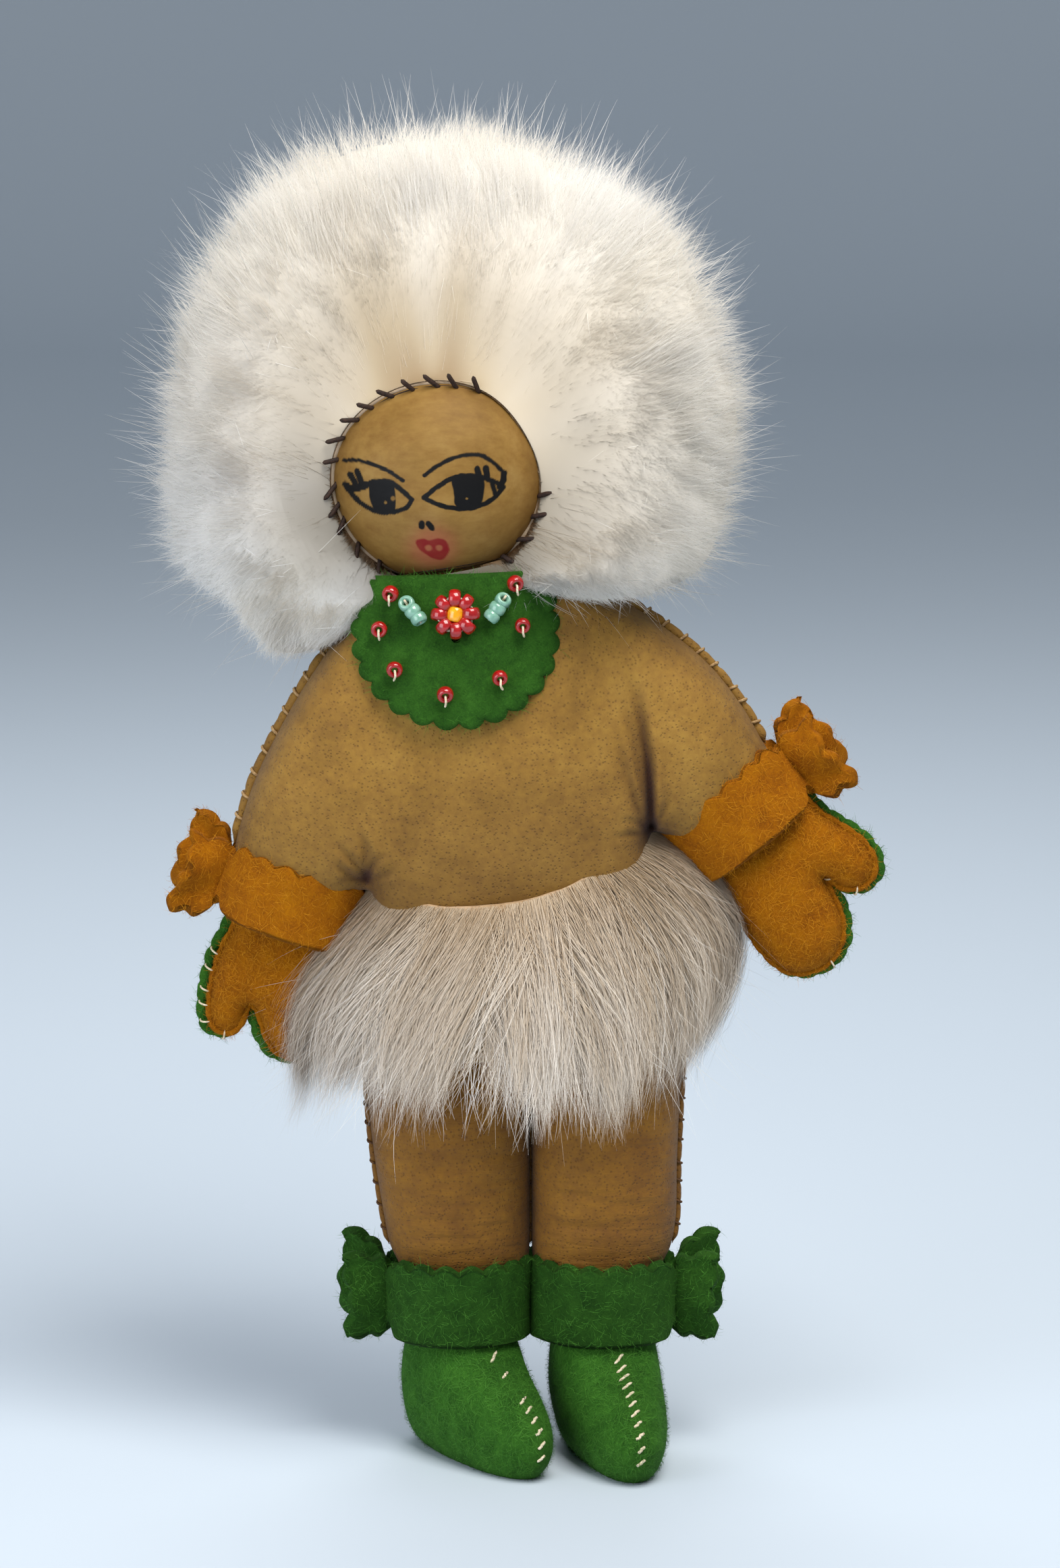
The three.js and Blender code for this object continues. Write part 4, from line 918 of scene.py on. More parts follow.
def feltSheet(middle, normal, thickness):  # a sheet of felt with rounded cut edges, from its middle surface
    rows, columns, _ = middle.shape
    half = thickness / 2
    front = middle + normal * half
    back = middle - normal * half
    edgeMask = np.zeros((rows, columns), bool)
    edgeMask[[0, -1]] = True
    edgeMask[:, [0, -1]] = True
    inward = np.zeros_like(middle)
    inward[0] += middle[1] - middle[0]
    inward[-1] += middle[-2] - middle[-1]
    inward[:, 0] += middle[:, 1] - middle[:, 0]
    inward[:, -1] += middle[:, -2] - middle[:, -1]
    pull = 0.3 * thickness * unit(inward) * edgeMask[..., None]
    front, back = front + pull, back + pull
    n = rows * columns
    loop = np.concatenate([np.arange(columns), np.arange(1, rows) * columns + columns - 1,
        (rows - 1) * columns + np.arange(columns - 2, -1, -1), np.arange(rows - 2, 0, -1) * columns])
    rim = middle.reshape(-1, 3)[loop]
    points = np.concatenate([front.reshape(-1, 3), back.reshape(-1, 3), rim])
    quads = gridFaces(rows, columns)
    faces = [quads, quads[:, ::-1] + n]
    here = np.arange(len(loop))
    there = (here + 1) % len(loop)
    faces.append(np.stack([loop[there], loop[here], 2 * n + here, 2 * n + there], 1))
    faces.append(np.stack([2 * n + there, 2 * n + here, n + loop[here], n + loop[there]], 1))
    return points, np.concatenate(faces)


# cuffs: one felt strip round each wrist and ankle, its two ends pinched together and fanned out on the outer side
cuffCut = {
    "thickness": 1.6,
    "scallop": 3.3,
    "bite": 0.62,
    "wrist": {"across": 9.25, "through": 7.75, "top": 0.4, "bottom": -9.8, "tab": 7.2, "tabLow": -10.6,
        "tabHigh": 0.4, "flare": 0.35},
    "ankle": {"across": 9.25, "through": 9.35, "top": 27.3, "bottom": 15.9, "tab": 7.2, "tabLow": 16.6,
        "tabHigh": 28.4, "flare": 0.45},
    "splay": math.radians(21),
    "armSpread": math.radians(29),
    # painted shade: how much darker each cuff is made for the shade it sits in; the ankle cuffs are darkened
    "soil": {"wrist": 0, "ankle": 0.48},
    "inset": {"left": (0, 0, 0), "right": (2.4, 0, -0.6)},
}


def cuffStrip(size, seed):
    wrapTurn = np.linspace(math.radians(9), math.radians(351), 150)
    wrap = np.stack([size["across"] * np.cos(wrapTurn), size["through"] * np.sin(wrapTurn)], 1)
    reach = np.linspace(size["tab"], 0.6, 24)
    tab1 = np.stack([wrap[0, 0] + reach * math.cos(cuffCut["splay"]),
        wrap[0, 1] * 0.45 + reach * math.sin(cuffCut["splay"])], 1)
    tab2 = np.stack([wrap[-1, 0] + reach[::-1] * math.cos(cuffCut["splay"]),
        wrap[-1, 1] * 0.45 - reach[::-1] * math.sin(cuffCut["splay"])], 1)
    plan = smoothLine(np.concatenate([tab1[::4], wrap[::5], tab2[::4]]), 0.42, closed=False)
    run = runAlong(plan)
    total = run[-1]
    outTab = np.clip(np.maximum((size["tab"] - run) / size["tab"], (run - total + size["tab"]) / size["tab"]), 0, 1)
    isFirst = run < total / 2
    pinch = np.exp(-(((np.minimum(run, total - run)) - size["tab"]) / 1.6) ** 2)
    fan = ease(0, 0.75, outTab)
    lowWrap, highWrap = size["bottom"], size["top"]
    lift = np.where(isFirst, 1.4, -0.8) * ease(0, 0.6, outTab)
    low = lowWrap + (size["tabLow"] - lowWrap) * fan + lift + 1.9 * pinch
    high = highWrap + (size["tabHigh"] - highWrap) * fan + lift - 1.9 * pinch
    wave = np.abs(np.sin(math.pi * run / cuffCut["scallop"]))
    high = high + cuffCut["bite"] * (wave - 0.5) * 1.5
    low = low - cuffCut["bite"] * (wave - 0.5) * 1.5 * ease(0.2, 0.6, outTab)
    rows = np.linspace(0, 1, 30)
    z = low[None] + (high - low)[None] * rows[:, None]
    ahead = unit(np.gradient(plan, axis=0))
    sideways = np.stack([ahead[:, 1], -ahead[:, 0]], 1)
    ripple = np.sin(rows[:, None] * 7.5 + 1.7 * isFirst[None] + run[None] * 0.25) * outTab[None] ** 1.2 * 1.15
    endWave = 0.8 * np.abs(np.sin(math.pi * (z - low[None]) / cuffCut["scallop"])) * ease(0.72, 1, outTab)[None]
    flare = size["flare"] * rows[:, None] ** 3 * (1 - outTab)[None]
    shift = (ripple + flare + 0.18
        * softNoise(np.stack([np.broadcast_to(run, z.shape).ravel(), z.ravel(), 0 * z.ravel()], 1), 3.5,
            seed).reshape(z.shape))
    push = np.where(isFirst, -1, 1)[None] * endWave
    x = plan[None, :, 0] + shift * sideways[None, :, 0] + push * ahead[None, :, 0]
    y = plan[None, :, 1] + shift * sideways[None, :, 1] + push * ahead[None, :, 1]
    middle = np.stack([x, y, z], -1)
    du = np.gradient(middle, axis=1)
    dv = np.gradient(middle, axis=0)
    normal = unit(np.cross(du, dv))
    points, faces = feltSheet(middle, normal, cuffCut["thickness"])
    return points, faces, total


wristFrame = {}
for side, sign in (("left", 1), ("right", -1)):
    c, s = math.cos(cuffCut["armSpread"]), math.sin(cuffCut["armSpread"])
    outDir, upDir = fromUpper([(sign * c, 0, s), (-sign * s, 0, c)]) - hips
    wristFrame[side] = (jointPlace[side + "_wrist"], outDir, upDir)
for seed, side, sign in ((91, "left", 1), (101, "right", -1)):
    for place, felt, fibre, slotName in (("wrist", goldFelt, goldFibre, "gold_felt"),
            ("ankle", greenFelt, greenFibre, "green_felt")):
        size = cuffCut[place]
        local, faces, length = cuffStrip(size, seed + len(place))
        if place == "wrist":
            centre, outDir, upDir = wristFrame[side]
            centre = centre + cuffCut["inset"][side]
            world = centre + local[:, :1] * outDir + local[:, 1:2] * [0, 1, 0] + local[:, 2:] * upDir
            name, body, node = side + "MittenCuff", side + "_hand", side + "_mitten_cuff"
        else:
            centre = ankles[side] * [1, 1, 0]
            world = centre + local * [sign, 1, 1]
            name, body, node = side + "BootCuff", side + "_foot", side + "_boot_cuff"
        if sign < 0:   # the right side is placed mirrored
            faces = faces[:, ::-1]
        # darker toward the lower edge, plus painted shade on the ankle cuffs
        lowEdgeAndShade = np.clip(0.25 * np.exp(-(local[:, 2] - size["bottom"]) / 0.8), 0, 0.3) + cuffCut["soil"][place]
        cuff = makePiece(name, world, faces, felt, {"wear": lowEdgeAndShade})
        hook(cuff, body, slotName, node)
        loose = hook(fuzz(name + "Fuzz", world, faces, "cuff", fibre, seed + 7), body, slotName)
        tall = max(size["top"] - size["bottom"], size["tabHigh"] - size["tabLow"])
        flatArea = halfArea(world, faces)
        print(name, "strip", round(length, 1), "x", round(tall, 1), "mm, area", round(flatArea))

# bib: one scalloped piece of felt hanging under the chin
bibCut = {"halfWidth": 14.3, "halfHeight": 12.2, "middleDrop": 8.1, "topCut": 8.5, "scallops": 24, "bite": 0.95,
    "thickness": 1.3, "slope": 0.205, "curl": 2.4, "turn": math.radians(8), "hang": (0, -8.1, 59.6)}


def fromBib(points):  # bib frame: across, outward from the felt's back, drop below the hanging edge
    p = np.asarray(points, float)
    depth = bibCut["slope"] * p[:, 2] + bibCut["curl"] * (p[:, 0] / bibCut["halfWidth"]) ** 2
    c, s = math.cos(bibCut["turn"]), math.sin(bibCut["turn"])
    x = p[:, 0] * c + p[:, 2] * s
    z = -p[:, 0] * s + p[:, 2] * c
    return fromUpper(np.stack([x, depth + p[:, 1], z], 1) + bibCut["hang"])


turns, rings = bibCut["scallops"] * 9, 34
angle = np.arange(turns) * 2 * math.pi / turns
phase = np.abs(np.sin(np.arange(turns) * math.pi / 9))
bite = bibCut["bite"] * (1 - phase ** 0.8)
# fuller at the two top corners
edgeX = (bibCut["halfWidth"] - bite) * np.cos(angle) * (1 + 0.24 * np.maximum(np.sin(angle), 0) ** 2)
edgeZ = (bibCut["halfHeight"] - bite) * np.sin(angle)
top = bibCut["middleDrop"]
edgeZ = np.minimum(edgeZ, bibCut["topCut"])
share = np.linspace(0.02, 1, rings) ** 0.8
layers = []
half = bibCut["thickness"] / 2
for outward, order in ((-1, share), (1, share[::-1])):
    for r in order:
        x, z = r * edgeX, r * edgeZ - top
        spot = np.stack([x, z, 0 * x], 1)
        ruffle = 0.22 * softNoise(spot, 4.5, 12) + 0.5 * r ** 4 * softNoise(spot, 7, 13) * ease(-3, -8, z)
        round_ = np.sqrt(np.clip(1 - ((r - 0.93) / 0.07) ** 2, 0, 1)) if r > 0.93 else 1
        layers.append(np.stack([x, -half + outward * half * round_ + ruffle, z], 1))
bibPoints = fromBib(np.concatenate(layers))
bibFaces = gridFaces(len(layers), turns, closed=True)
gapR = np.concatenate([np.full(turns, r) for r in np.r_[share, share[::-1]]])
# painted shade: the whole bib darkened for the shade it hangs in, and darker still toward its edge
bib = makePiece("bibFelt", bibPoints, bibFaces, greenFelt, {"wear": 0.3 + 0.12 * ease(0.9, 1, gapR)})
if pointNormals(bibPoints, bibFaces)[turns * 4][1] > 0:
    bib.data.flip_normals()
hook(bib, "bib", "green_felt", "bib")
bibFuzz = hook(fuzz("bibFuzz", bibPoints, bibFaces, "bib", greenFibre, 14), "bib", "green_felt")
print("bib cut")

# seed beads, each on its stitch
beadSize = {"radius": 1.12, "length": 1.4, "centreLength": 1.95, "hole": 0.36, "up": 1.6, "thread": 0.16}


def beadForm(length, turns=28, steps=16):
    a = np.linspace(0, 2 * math.pi, steps, endpoint=False)
    wall = (beadSize["radius"] - beadSize["hole"]) / 2
    radius = beadSize["hole"] + wall + wall * np.sign(np.cos(a)) * np.abs(np.cos(a)) ** 0.9
    along = length / 2 * np.sign(np.sin(a)) * np.abs(np.sin(a)) ** 0.95
    b = np.arange(turns) * 2 * math.pi / turns
    ring = np.stack([radius[:, None] * np.cos(b), np.broadcast_to(along[:, None], (steps, turns)),
        radius[:, None] * np.sin(b)], -1)
    points = ring.reshape(-1, 3)
    r, c = np.meshgrid(np.arange(steps), np.arange(turns), indexing="ij")
    q = lambda i, j: (i % steps) * turns + j % turns
    faces = np.stack([q(r, c), q(r, c + 1), q(r + 1, c + 1), q(r + 1, c)], -1).reshape(-1, 4)
    return points, faces


def bibDirection(x, z):  # a direction lying in the bib, across and up
    ends = fromBib(np.array([[0, 0, -8.0], [x, 0, -8.0 + z]]))
    return unit(ends[1] - ends[0])


beadKinds = [(f"bib_bead_{k + 1}", redBead, "red_glass") for k in range(7)]
beadKinds += [(f"petal_bead_{k + 1}", redBead, "red_glass") for k in range(8)]
beadKinds += [("flower_centre_bead", amberBead, "amber_glass")]
beadKinds += [(f"{side}_leaf_bead_{k + 1}", mintBead, "mint_glass") for side in ("left", "right") for k in range(3)]
rng = np.random.default_rng(15)
threads = []
bibOut = unit(np.cross(bibDirection(1, 0), bibDirection(0, 1)))
bibOut = bibOut if bibOut[1] < 0 else -bibOut
beadSpot = {name: (np.array(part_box(name)[0]) + np.array(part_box(name)[1])) * 500 for name, _, _ in beadKinds}
flowerMiddle = beadSpot["flower_centre_bead"] + beadSize["up"] * bibDirection(0, 1)
leafStep = {side: unit(beadSpot[side + "_leaf_bead_3"] - beadSpot[side + "_leaf_bead_1"])
    for side in ("left", "right")}
for name, glass, slotName in beadKinds:
    form, formFaces = beadForm(beadSize["centreLength" if name.startswith("flower") else "length"])
    centre = beadSpot[name] + beadSize["up"] * bibDirection(0, 1)
    if "petal" in name:
        centre = flowerMiddle + 0.88 * (centre - flowerMiddle)
    elif "leaf" in name:
        centre = centre + 0.36 * (2 - int(name[-1])) * leafStep[name.split("_")[0]]
    if name.startswith("bib_bead"):
        axis = unit(bibDirection(0.3 * rng.normal(), -1) * 0.5 + bibOut * 0.8)
    elif name.startswith("petal"):
        turn = math.radians(45 * (int(name[-1]) - 1))
        axis = unit(bibDirection(math.cos(turn), -math.sin(turn)))
    elif name.startswith("flower"):
        axis = unit(bibDirection(0.2, 1) + 0.1 * bibOut)
    else:
        lean = 1 if name.startswith("left") else -1
        axis = unit(bibDirection(lean * math.sin(math.radians(38)), math.cos(math.radians(38))))
        nextBead = beadSpot[name.split("_")[0] + "_leaf_bead_2"]
        if np.linalg.norm(centre - flowerMiddle) > np.linalg.norm(nextBead - beadSpot["flower_centre_bead"]) + 0.5:
            axis = unit(0.45 * axis + bibOut)   # the end bead has tipped up and shows its hole
    axis = unit(axis + 0.1 * rng.normal(size=3))
    sideways = unit(np.cross(axis, bibOut))
    over = np.cross(sideways, axis)
    grow = rng.uniform(0.95, 1.05) * (1.13 if "petal" in name else 1)
    pts = centre + grow * (form[:, :1] * sideways + form[:, 1:2] * axis + form[:, 2:] * over)
    bead = makePiece(name.replace("_bead", "Bead"), pts, formFaces, glass)
    hook(bead, "bib", slotName, name)
    a, b = centre + axis * 1.0, centre - axis * 1.0
    if name.startswith("bib_bead"):
        foot = centre - bibDirection(0.15 * rng.normal(), 1) * 2.1 - bibOut * 1.0
        bent = centre + axis * 0.8 - bibDirection(0, 1) * 0.75
        stitch = [centre + axis * 0.2, centre + axis * 0.85, bent, foot]
    else:
        stitch = [a - bibOut * 0.5, a, b, b - bibOut * 0.5]
    if not name.startswith("flower"):
        threads.append(smoothLine(stitch, 0.22, closed=False)[:12])
shortest = min(len(t) for t in threads)
pts, fcs = tubes([t[:shortest] for t in threads], beadSize["thread"])
hook(makePiece("beadThread", pts, fcs, paleThread), "bib", "stuffing")
print("beads sewn on")

# face: a round of hide drawn over the head ball, features in ink, lips in red
faceCut = {
    "half": (14.6, 12.0, 14.8),
    "headRise": 72.8,
    "seamDepth": 3.4,
    "chin": 60.4,
    "turns": 300,
    "rings": 150,
}
seamShare = math.sqrt(1 - (faceCut["seamDepth"] / faceCut["half"][1]) ** 2)
angle = np.arange(faceCut["turns"]) * 2 * math.pi / faceCut["turns"]
share = np.linspace(0.002, 1, faceCut["rings"]) ** 0.9 * seamShare
px = (share[:, None] * np.cos(angle)).ravel()
pz = (share[:, None] * np.sin(angle)).ravel()
bulge = np.sqrt(np.clip(1 - px**2 - pz**2, 0, 1))
local = np.stack([px * faceCut["half"][0], -bulge * faceCut["half"][1],
    pz * faceCut["half"][2] + faceCut["headRise"]], 1)
local[:, 2] = np.maximum(local[:, 2], faceCut["chin"] + 0.02 * (local[:, 2] - faceCut["chin"]))
nose = np.exp(-((local[:, 0] + 0.9) / 2.6) ** 2 - ((local[:, 2] - faceCut["headRise"] + 4.2) / 3.2) ** 2)
local[:, 1] -= 0.35 * nose + 0.12 * softNoise(local, 5, 16)
facePoints = fromUpper(local)
faceFaces = gridFaces(faceCut["rings"], faceCut["turns"], closed=True)
# the drawing, as seen straight from the front: across and up from the middle of the face
viewUp = np.array([0, math.sin(tilt), math.cos(tilt)])
toward = np.array([0, -math.cos(tilt), math.sin(tilt)])
nearer = shot["distance"] / (shot["distance"] - (facePoints - aim) @ toward)
drawn = np.stack([(facePoints - aim)[:, 0] * nearer + 12.92, (facePoints - aim) @ viewUp * nearer - 41.11], 1)
drawing = {
    "pen": 1.18,
    "strokes": [
        ([(-12.48, 2.96), (-10.75, 3.04), (-8.62, 2.5), (-6.5, 1.61), (-4.37, 0.26)], 0.24),
        ([(-1.47, 0.95), (0.46, 2.38), (2.78, 3.43), (5.1, 3.81), (6.64, 3.54), (8.19, 2.5), (9.04, 1.61)], 0.25),
        ([(-12.37, -0.21), (-11.13, -0.98), (-9.39, -0.51), (-8.74, 0.03), (-7.27, 0.18), (-6.03, 0.03),
            (-4.56, -1.09), (-3.21, -2.37)], 0.3),
        ([(-12.37, -0.21), (-10.94, -2.06), (-9.2, -3.41), (-7.27, -4.07), (-5.53, -3.99), (-3.98, -3.41),
            (-3.21, -2.37)], 0.29),
        ([(-11.6, 1.11), (-10.82, -0.32)], 0.37),
        ([(-10.67, 1.49), (-10.05, -0.05)], 0.37),
        ([(-12.29, -0.13), (-10.94, -0.9)], 0.28),
        ([(-11.13, -0.9), (-9.39, -0.28)], 0.42),
        ([(-1.55, -2.1), (0.46, -0.51), (2.2, 0.53), (4.32, 0.95), (6.26, 0.72), (8.19, 0.06), (9.27, -0.59)], 0.3),
        ([(-1.55, -2.1), (0.46, -3.03), (2.39, -3.49), (4.71, -3.53), (6.64, -2.91), (8.19, -1.98), (9.27, -0.59)],
            0.29),
        ([(5.71, 1.88), (6.06, 0.64)], 0.37),
        ([(6.91, 1.96), (7.11, 0.49)], 0.37),
        ([(9.39, 1.3), (9.27, 0.26), (8.77, -0.59)], 0.37),
        ([(7.8, -0.32), (8.19, -1.48)], 0.3),
        ([(-1.9, -5.6), (-1.86, -6.0)], 0.38),
        ([(-0.95, -5.65), (-0.45, -6.15)], 0.36),
    ],
    "irises": [
        [(-8.97, 0.03), (-7.27, 0.26), (-5.99, 0.1), (-5.45, -1.29), (-5.61, -3.99), (-7.65, -4.15), (-8.66, -3.03),
            (-9.01, -1.29)],
        [(2.31, 0.57), (4.32, 0.95), (6.33, 0.8), (6.72, -0.51), (5.99, -3.3), (2.97, -3.34), (2.51, -1.29)],
    ],
    "lips": [(-2.63, -7.86), (-1.55, -7.62), (-0.7, -7.86), (0.46, -7.55), (1.43, -7.93), (1.93, -9.21),
        (1.23, -10.37), (0.15, -10.56), (-1.28, -9.79), (-2.44, -8.82)],
    "lipGaps": [(-0.93, -8.95), (0.54, -8.9)],
    "inkGaps": [(-5.75, -2.14, 0.4), (-6.75, -2.75, 0.26), (4.3, -2.2, 0.2)],   # spots the pen missed
    "blush": (-0.39, -8.94),
}
ragged = drawn + 0.06 * np.stack([softNoise(local, 0.6, 17), softNoise(local, 0.6, 18)], 1)
ink = np.zeros(len(drawn))
for points, half in drawing["strokes"]:
    line = smoothLine(points, 0.25, closed=False)
    rough = 0.05 * softNoise(local, 0.35, 41)
    ink = np.maximum(ink, 1 - ease(drawing["pen"] * half - 0.08, drawing["pen"] * half + 0.06,
        gapTo(ragged, line, closed=False)[0] + rough))
for points in drawing["irises"]:
    line = smoothLine(points, 0.25)
    gap = gapTo(ragged, line)[0] * np.where(insideOutline(ragged, line), -1, 1)
    ink = np.maximum(ink, 1 - ease(-0.07, 0.07, gap))
for u, v, half in drawing["inkGaps"]:
    ink *= 0.25 + 0.75 * ease(0.6 * half, half, np.linalg.norm(ragged - [u, v], axis=1))
line = smoothLine(drawing["lips"], 0.25)
gap = gapTo(ragged, line)[0] * np.where(insideOutline(ragged, line), -1, 1)
lip = 1 - ease(-0.15, 0.1, gap)
for spot in drawing["lipGaps"]:
    lip *= ease(0.3, 0.62, np.linalg.norm((ragged - spot) * [1, 1.2], axis=1))
lip *= 0.9 + 0.1 * softNoise(local, 0.9, 19)
blush = 0.5 * np.exp(-(np.linalg.norm((drawn - drawing["blush"]) * [0.9, 1], axis=1) / 2.9) ** 3)
edgeShare = np.repeat(share / seamShare, faceCut["turns"])
# painted shade darkens the face toward its edge, under the fur; the noise patches are stains
rimShadeAndStain = 0.25 * ease(0.8, 1, edgeShare) + 0.12 * np.maximum(softNoise(local, 6, 20), 0)
look = {"ink": ink, "lip": np.clip(lip, 0, 1), "blush": blush, "wear": np.clip(rimShadeAndStain, 0, 1)}
faceSkin = makePiece("faceSkin", facePoints, faceFaces, faceHide, look)
if pointNormals(facePoints, faceFaces)[faceCut["turns"] * 10][1] > 0:
    faceSkin.data.flip_normals()
hook(faceSkin, "head", "body_leather", "face", "head_stuffing")
print("face drawn")

# face rim: the hood's bare pelt edge and the overcast stitches that hold it to the face
# across, up and down from the middle of the face
rimCut = {"half": (14.0, 12.8, 14.0), "stitches": 28, "thread": 0.34, "seamThread": 0.16}
turns = 200
angle = np.arange(turns) * 2 * math.pi / turns


def rimPlace(a, share, forward):  # round the face's edge: share of its radius, millimetres toward the viewer
    chin = faceCut["chin"] - faceCut["headRise"]
    x = rimCut["half"][0] * np.cos(a)
    z = np.maximum(np.where(np.sin(a) > 0, rimCut["half"][1], rimCut["half"][2]) * np.sin(a), chin)
    y = (-faceCut["half"][1] * np.sqrt(np.maximum(1 - (x / faceCut["half"][0]) ** 2 - (z / faceCut["half"][2]) ** 2,
        0.07)))
    return fromUpper(np.stack([x * share, y - forward, np.maximum(z * share, chin - 0.8) + faceCut["headRise"]], 1))


profile = [(1.0, -1.0), (0.99, -0.1), (0.994, 0.15), (1.004, 0.3), (1.016, 0.28), (1.03, 0), (1.045, -0.9)]
profile = smoothLine(profile, 0.35, closed=False)
tucked = 2.2 * np.exp(-((np.degrees(angle) - 268) / 34) ** 6)   # the edge goes in under the chin
rimPoints = np.concatenate([rimPlace(angle, s, f - tucked) for s, f in profile])
rimPoints += 0.14 * softNoise(rimPoints, 1.6, 22)[:, None] * np.array([0, -1, 0])
look = {"along": np.full(len(rimPoints), 0.12), "tone": np.full(len(rimPoints), 0.5)}
rim = makePiece("hoodPeltEdge", rimPoints, gridFaces(len(profile), turns, closed=True), hoodHair, look)
hook(rim, "head", "white_fur")
rng = np.random.default_rng(23)
lines = []
for k in range(rimCut["stitches"]):
    a = (k + 0.5 + 0.12 * rng.normal()) * 2 * math.pi / rimCut["stitches"]
    # under the chin, and where fur has fallen over the edge
    if abs(math.degrees(a) - 268) < 32 or 12 < math.degrees(a) < 54:
        continue
    lean = 0.055 + 0.015 * rng.normal()
    at = np.array([a - lean, a - 0.5 * lean, a, a + 0.6 * lean, a + lean])
    share5 = np.array([0.97, 0.99, 1.03, 1.08, 1.125]) + 0.01 * rng.normal()
    forward5 = np.array([0.3, 0.6, 0.95, 1.35, 1.6])
    spots = np.concatenate([rimPlace(at[i:i + 1], share5[i], forward5[i]) for i in range(5)])
    lines.append(smoothLine(spots, np.linalg.norm(np.diff(spots, axis=0), axis=1).sum() / 10, closed=False)[:11])
shortest = min(len(line) for line in lines)
pts, fcs = tubes([line[:shortest] for line in lines], rimCut["thread"])
hook(makePiece("rimStitches", pts, fcs, darkThread), "head", "white_fur")
# painted shadow: a dark thread laid all round just inside the face's edge stands in for the shadow line along the
# seam
lines = [rimPlace(np.linspace(k, k + 1, 60) * math.pi / 2, 0.975, 0.3) for k in range(4)]
pts, fcs = tubes(lines, rimCut["seamThread"])
hook(makePiece("rimShadowThread", pts, fcs, darkThread), "head", "white_fur")
print("face rim sewn")

# hood: long white fur standing out all round the face, brushed back over the head
hoodFur = {
    "reach": [(0, 41.5), (15, 44.5), (30, 46), (45, 49.4), (60, 49.8), (75, 49.4), (90, 49), (105, 49.6),
        (120, 49.2), (135, 45.6), (150, 42.4), (165, 39.4), (180, 38.8), (195, 38.4), (210, 37.6), (222, 39),
        (231, 37.5), (240, 27), (252, 17), (270, 16), (288, 16.5), (300, 18), (312, 22), (322, 31), (332, 38),
        (345, 40.5)],
    "behind": 18,      # how far the fur hangs down the back
    "core": 0.91,      # share of the depth that is dense underfur
    "locks": 3200,
    "perLock": 34,
    "steps": 6,
    "width": 0.085,
    "guardHairs": 3400,
    "guardWidth": 0.1,
    "scatter": np.array([0, 0, 0.35]),   # deep fur is lit from more sides than skin
    "seed": 24,
    "spread": (0.045, 0.028),   # a lock's spread round and back
    "short": 0.95,     # shortest share of a hair's length
    "loose": 0.25,     # share of hairs that stray from their lock
    "gather": 0.45,
    "wave": 0.4,
    "deep": 0.72,      # where hairs start, as a share of the depth
}
faceMiddle = fromUpper([(0, -faceCut["seamDepth"], faceCut["headRise"])])[0]
across = np.array([1.0, 0, 0])
hoodMiddle = faceMiddle + np.array([0, 9.0, 0])
reachAngle = np.array([a for a, _ in hoodFur["reach"]] + [360])
reachSize = np.array([r for _, r in hoodFur["reach"]] + [hoodFur["reach"][0][1]])


def aroundBump(a, middle, width):
    off = (np.degrees(a) - middle + 180) % 360 - 180
    return np.exp(-(off / width) ** 2)


def hoodSpot(a, s, h):  # round the face, from rim (0) to back of head (1), from pelt (0) to fur tips (1)
    at = np.degrees(a) % 360
    near = [np.interp((at + d) % 360, reachAngle, reachSize) for d in (-5, 0, 5)]
    front = 0.25 * near[0] + 0.5 * near[1] + 0.25 * near[2]
    big = front + (hoodFur["behind"] - front) * ease(0.3, 0.9, -np.sin(a)) * ease(0.36, 0.62, s)
    push = (5 * aroundBump(a, 333, 16) * (1 - ease(0.5, 0.8, s)) - 10 * aroundBump(a, 228, 20)
        - 7 * aroundBump(a, 270, 34) * ease(0.3, 0.6, s))
    innerR = np.interp(s, [0, 0.2, 0.45, 0.75, 1], [15.0, 16.8, 16.2, 9.5, 0])
    innerD = np.interp(s, [0, 0.2, 0.45, 0.75, 1], [0.7, -3, -9, -14.5, -16])
    fat = np.clip((big - 16) / 14, 0, 1)
    more = big - 16
    outR = np.stack([0 * big + 15.4, 16.2 + 0.13 * more, 16.4 + 0.33 * more, 16.2 + 0.72 * more, 16 + 0.95 * more,
        big, 0.9 * big, 0.6 * big, 0 * big])
    outD = np.stack([0 * big + 1.3, 5 * fat, 8.6 * fat, 7 * fat, 0 * big - 3, 0 * big - 11.5, 0 * big - 20.8,
        0 * big - 27.6, 0 * big - 29.8])
    stops = np.array([0, 0.09, 0.18, 0.34, 0.5, 0.62, 0.75, 0.88, 1])
    t = np.clip(s, 0, 1) * (1 - 1e-9)
    k = np.clip(np.searchsorted(stops, t, side="right") - 1, 0, 7)
    gap = stops[k + 1] - stops[k]
    f = (t - stops[k]) / gap
    n = np.arange(len(t))
    r, d = [
        table[k, n] * (1 - f) ** 2 * (1 + 2 * f) + table[k + 1, n] * f * f * (3 - 2 * f)
        + gap * f * (1 - f) * (slope[k, n] * (1 - f) - slope[k + 1, n] * f)
        for table, slope in ((outR, np.gradient(outR, stops, axis=0)), (outD, np.gradient(outD, stops, axis=0)))
    ]
    r = innerR + (r - innerR) * h
    d = innerD + (d + push * ease(0.05, 0.3, s) - innerD) * h
    lift = -5 * ease(0.55, 1, s) * h   # the fur ends at the nape
    away = np.cos(a)[:, None] * across + np.sin(a)[:, None] * viewUp
    free = faceMiddle + r[:, None] * away + d[:, None] * toward + lift[:, None] * viewUp
    sewn = rimPlace(a - stance["lean"], 1.02 + 0.05 * h, 0.7 * h - 0.1)
    # on this side the fur has fallen over the stitched edge
    over = (aroundBump(a, 28, 34) * (1 - ease(0, 0.14, s)))[:, None]
    return sewn + (free - sewn) * ease(0, 0.17, s)[:, None] + over * (1.6 * toward - 1.3 * away)


def roundNoise(a, s, size, seed):  # noise that joins up all the way round
    return softNoise(np.stack([np.cos(a) * 4, np.sin(a) * 4, 6 * s], 1), size, seed)


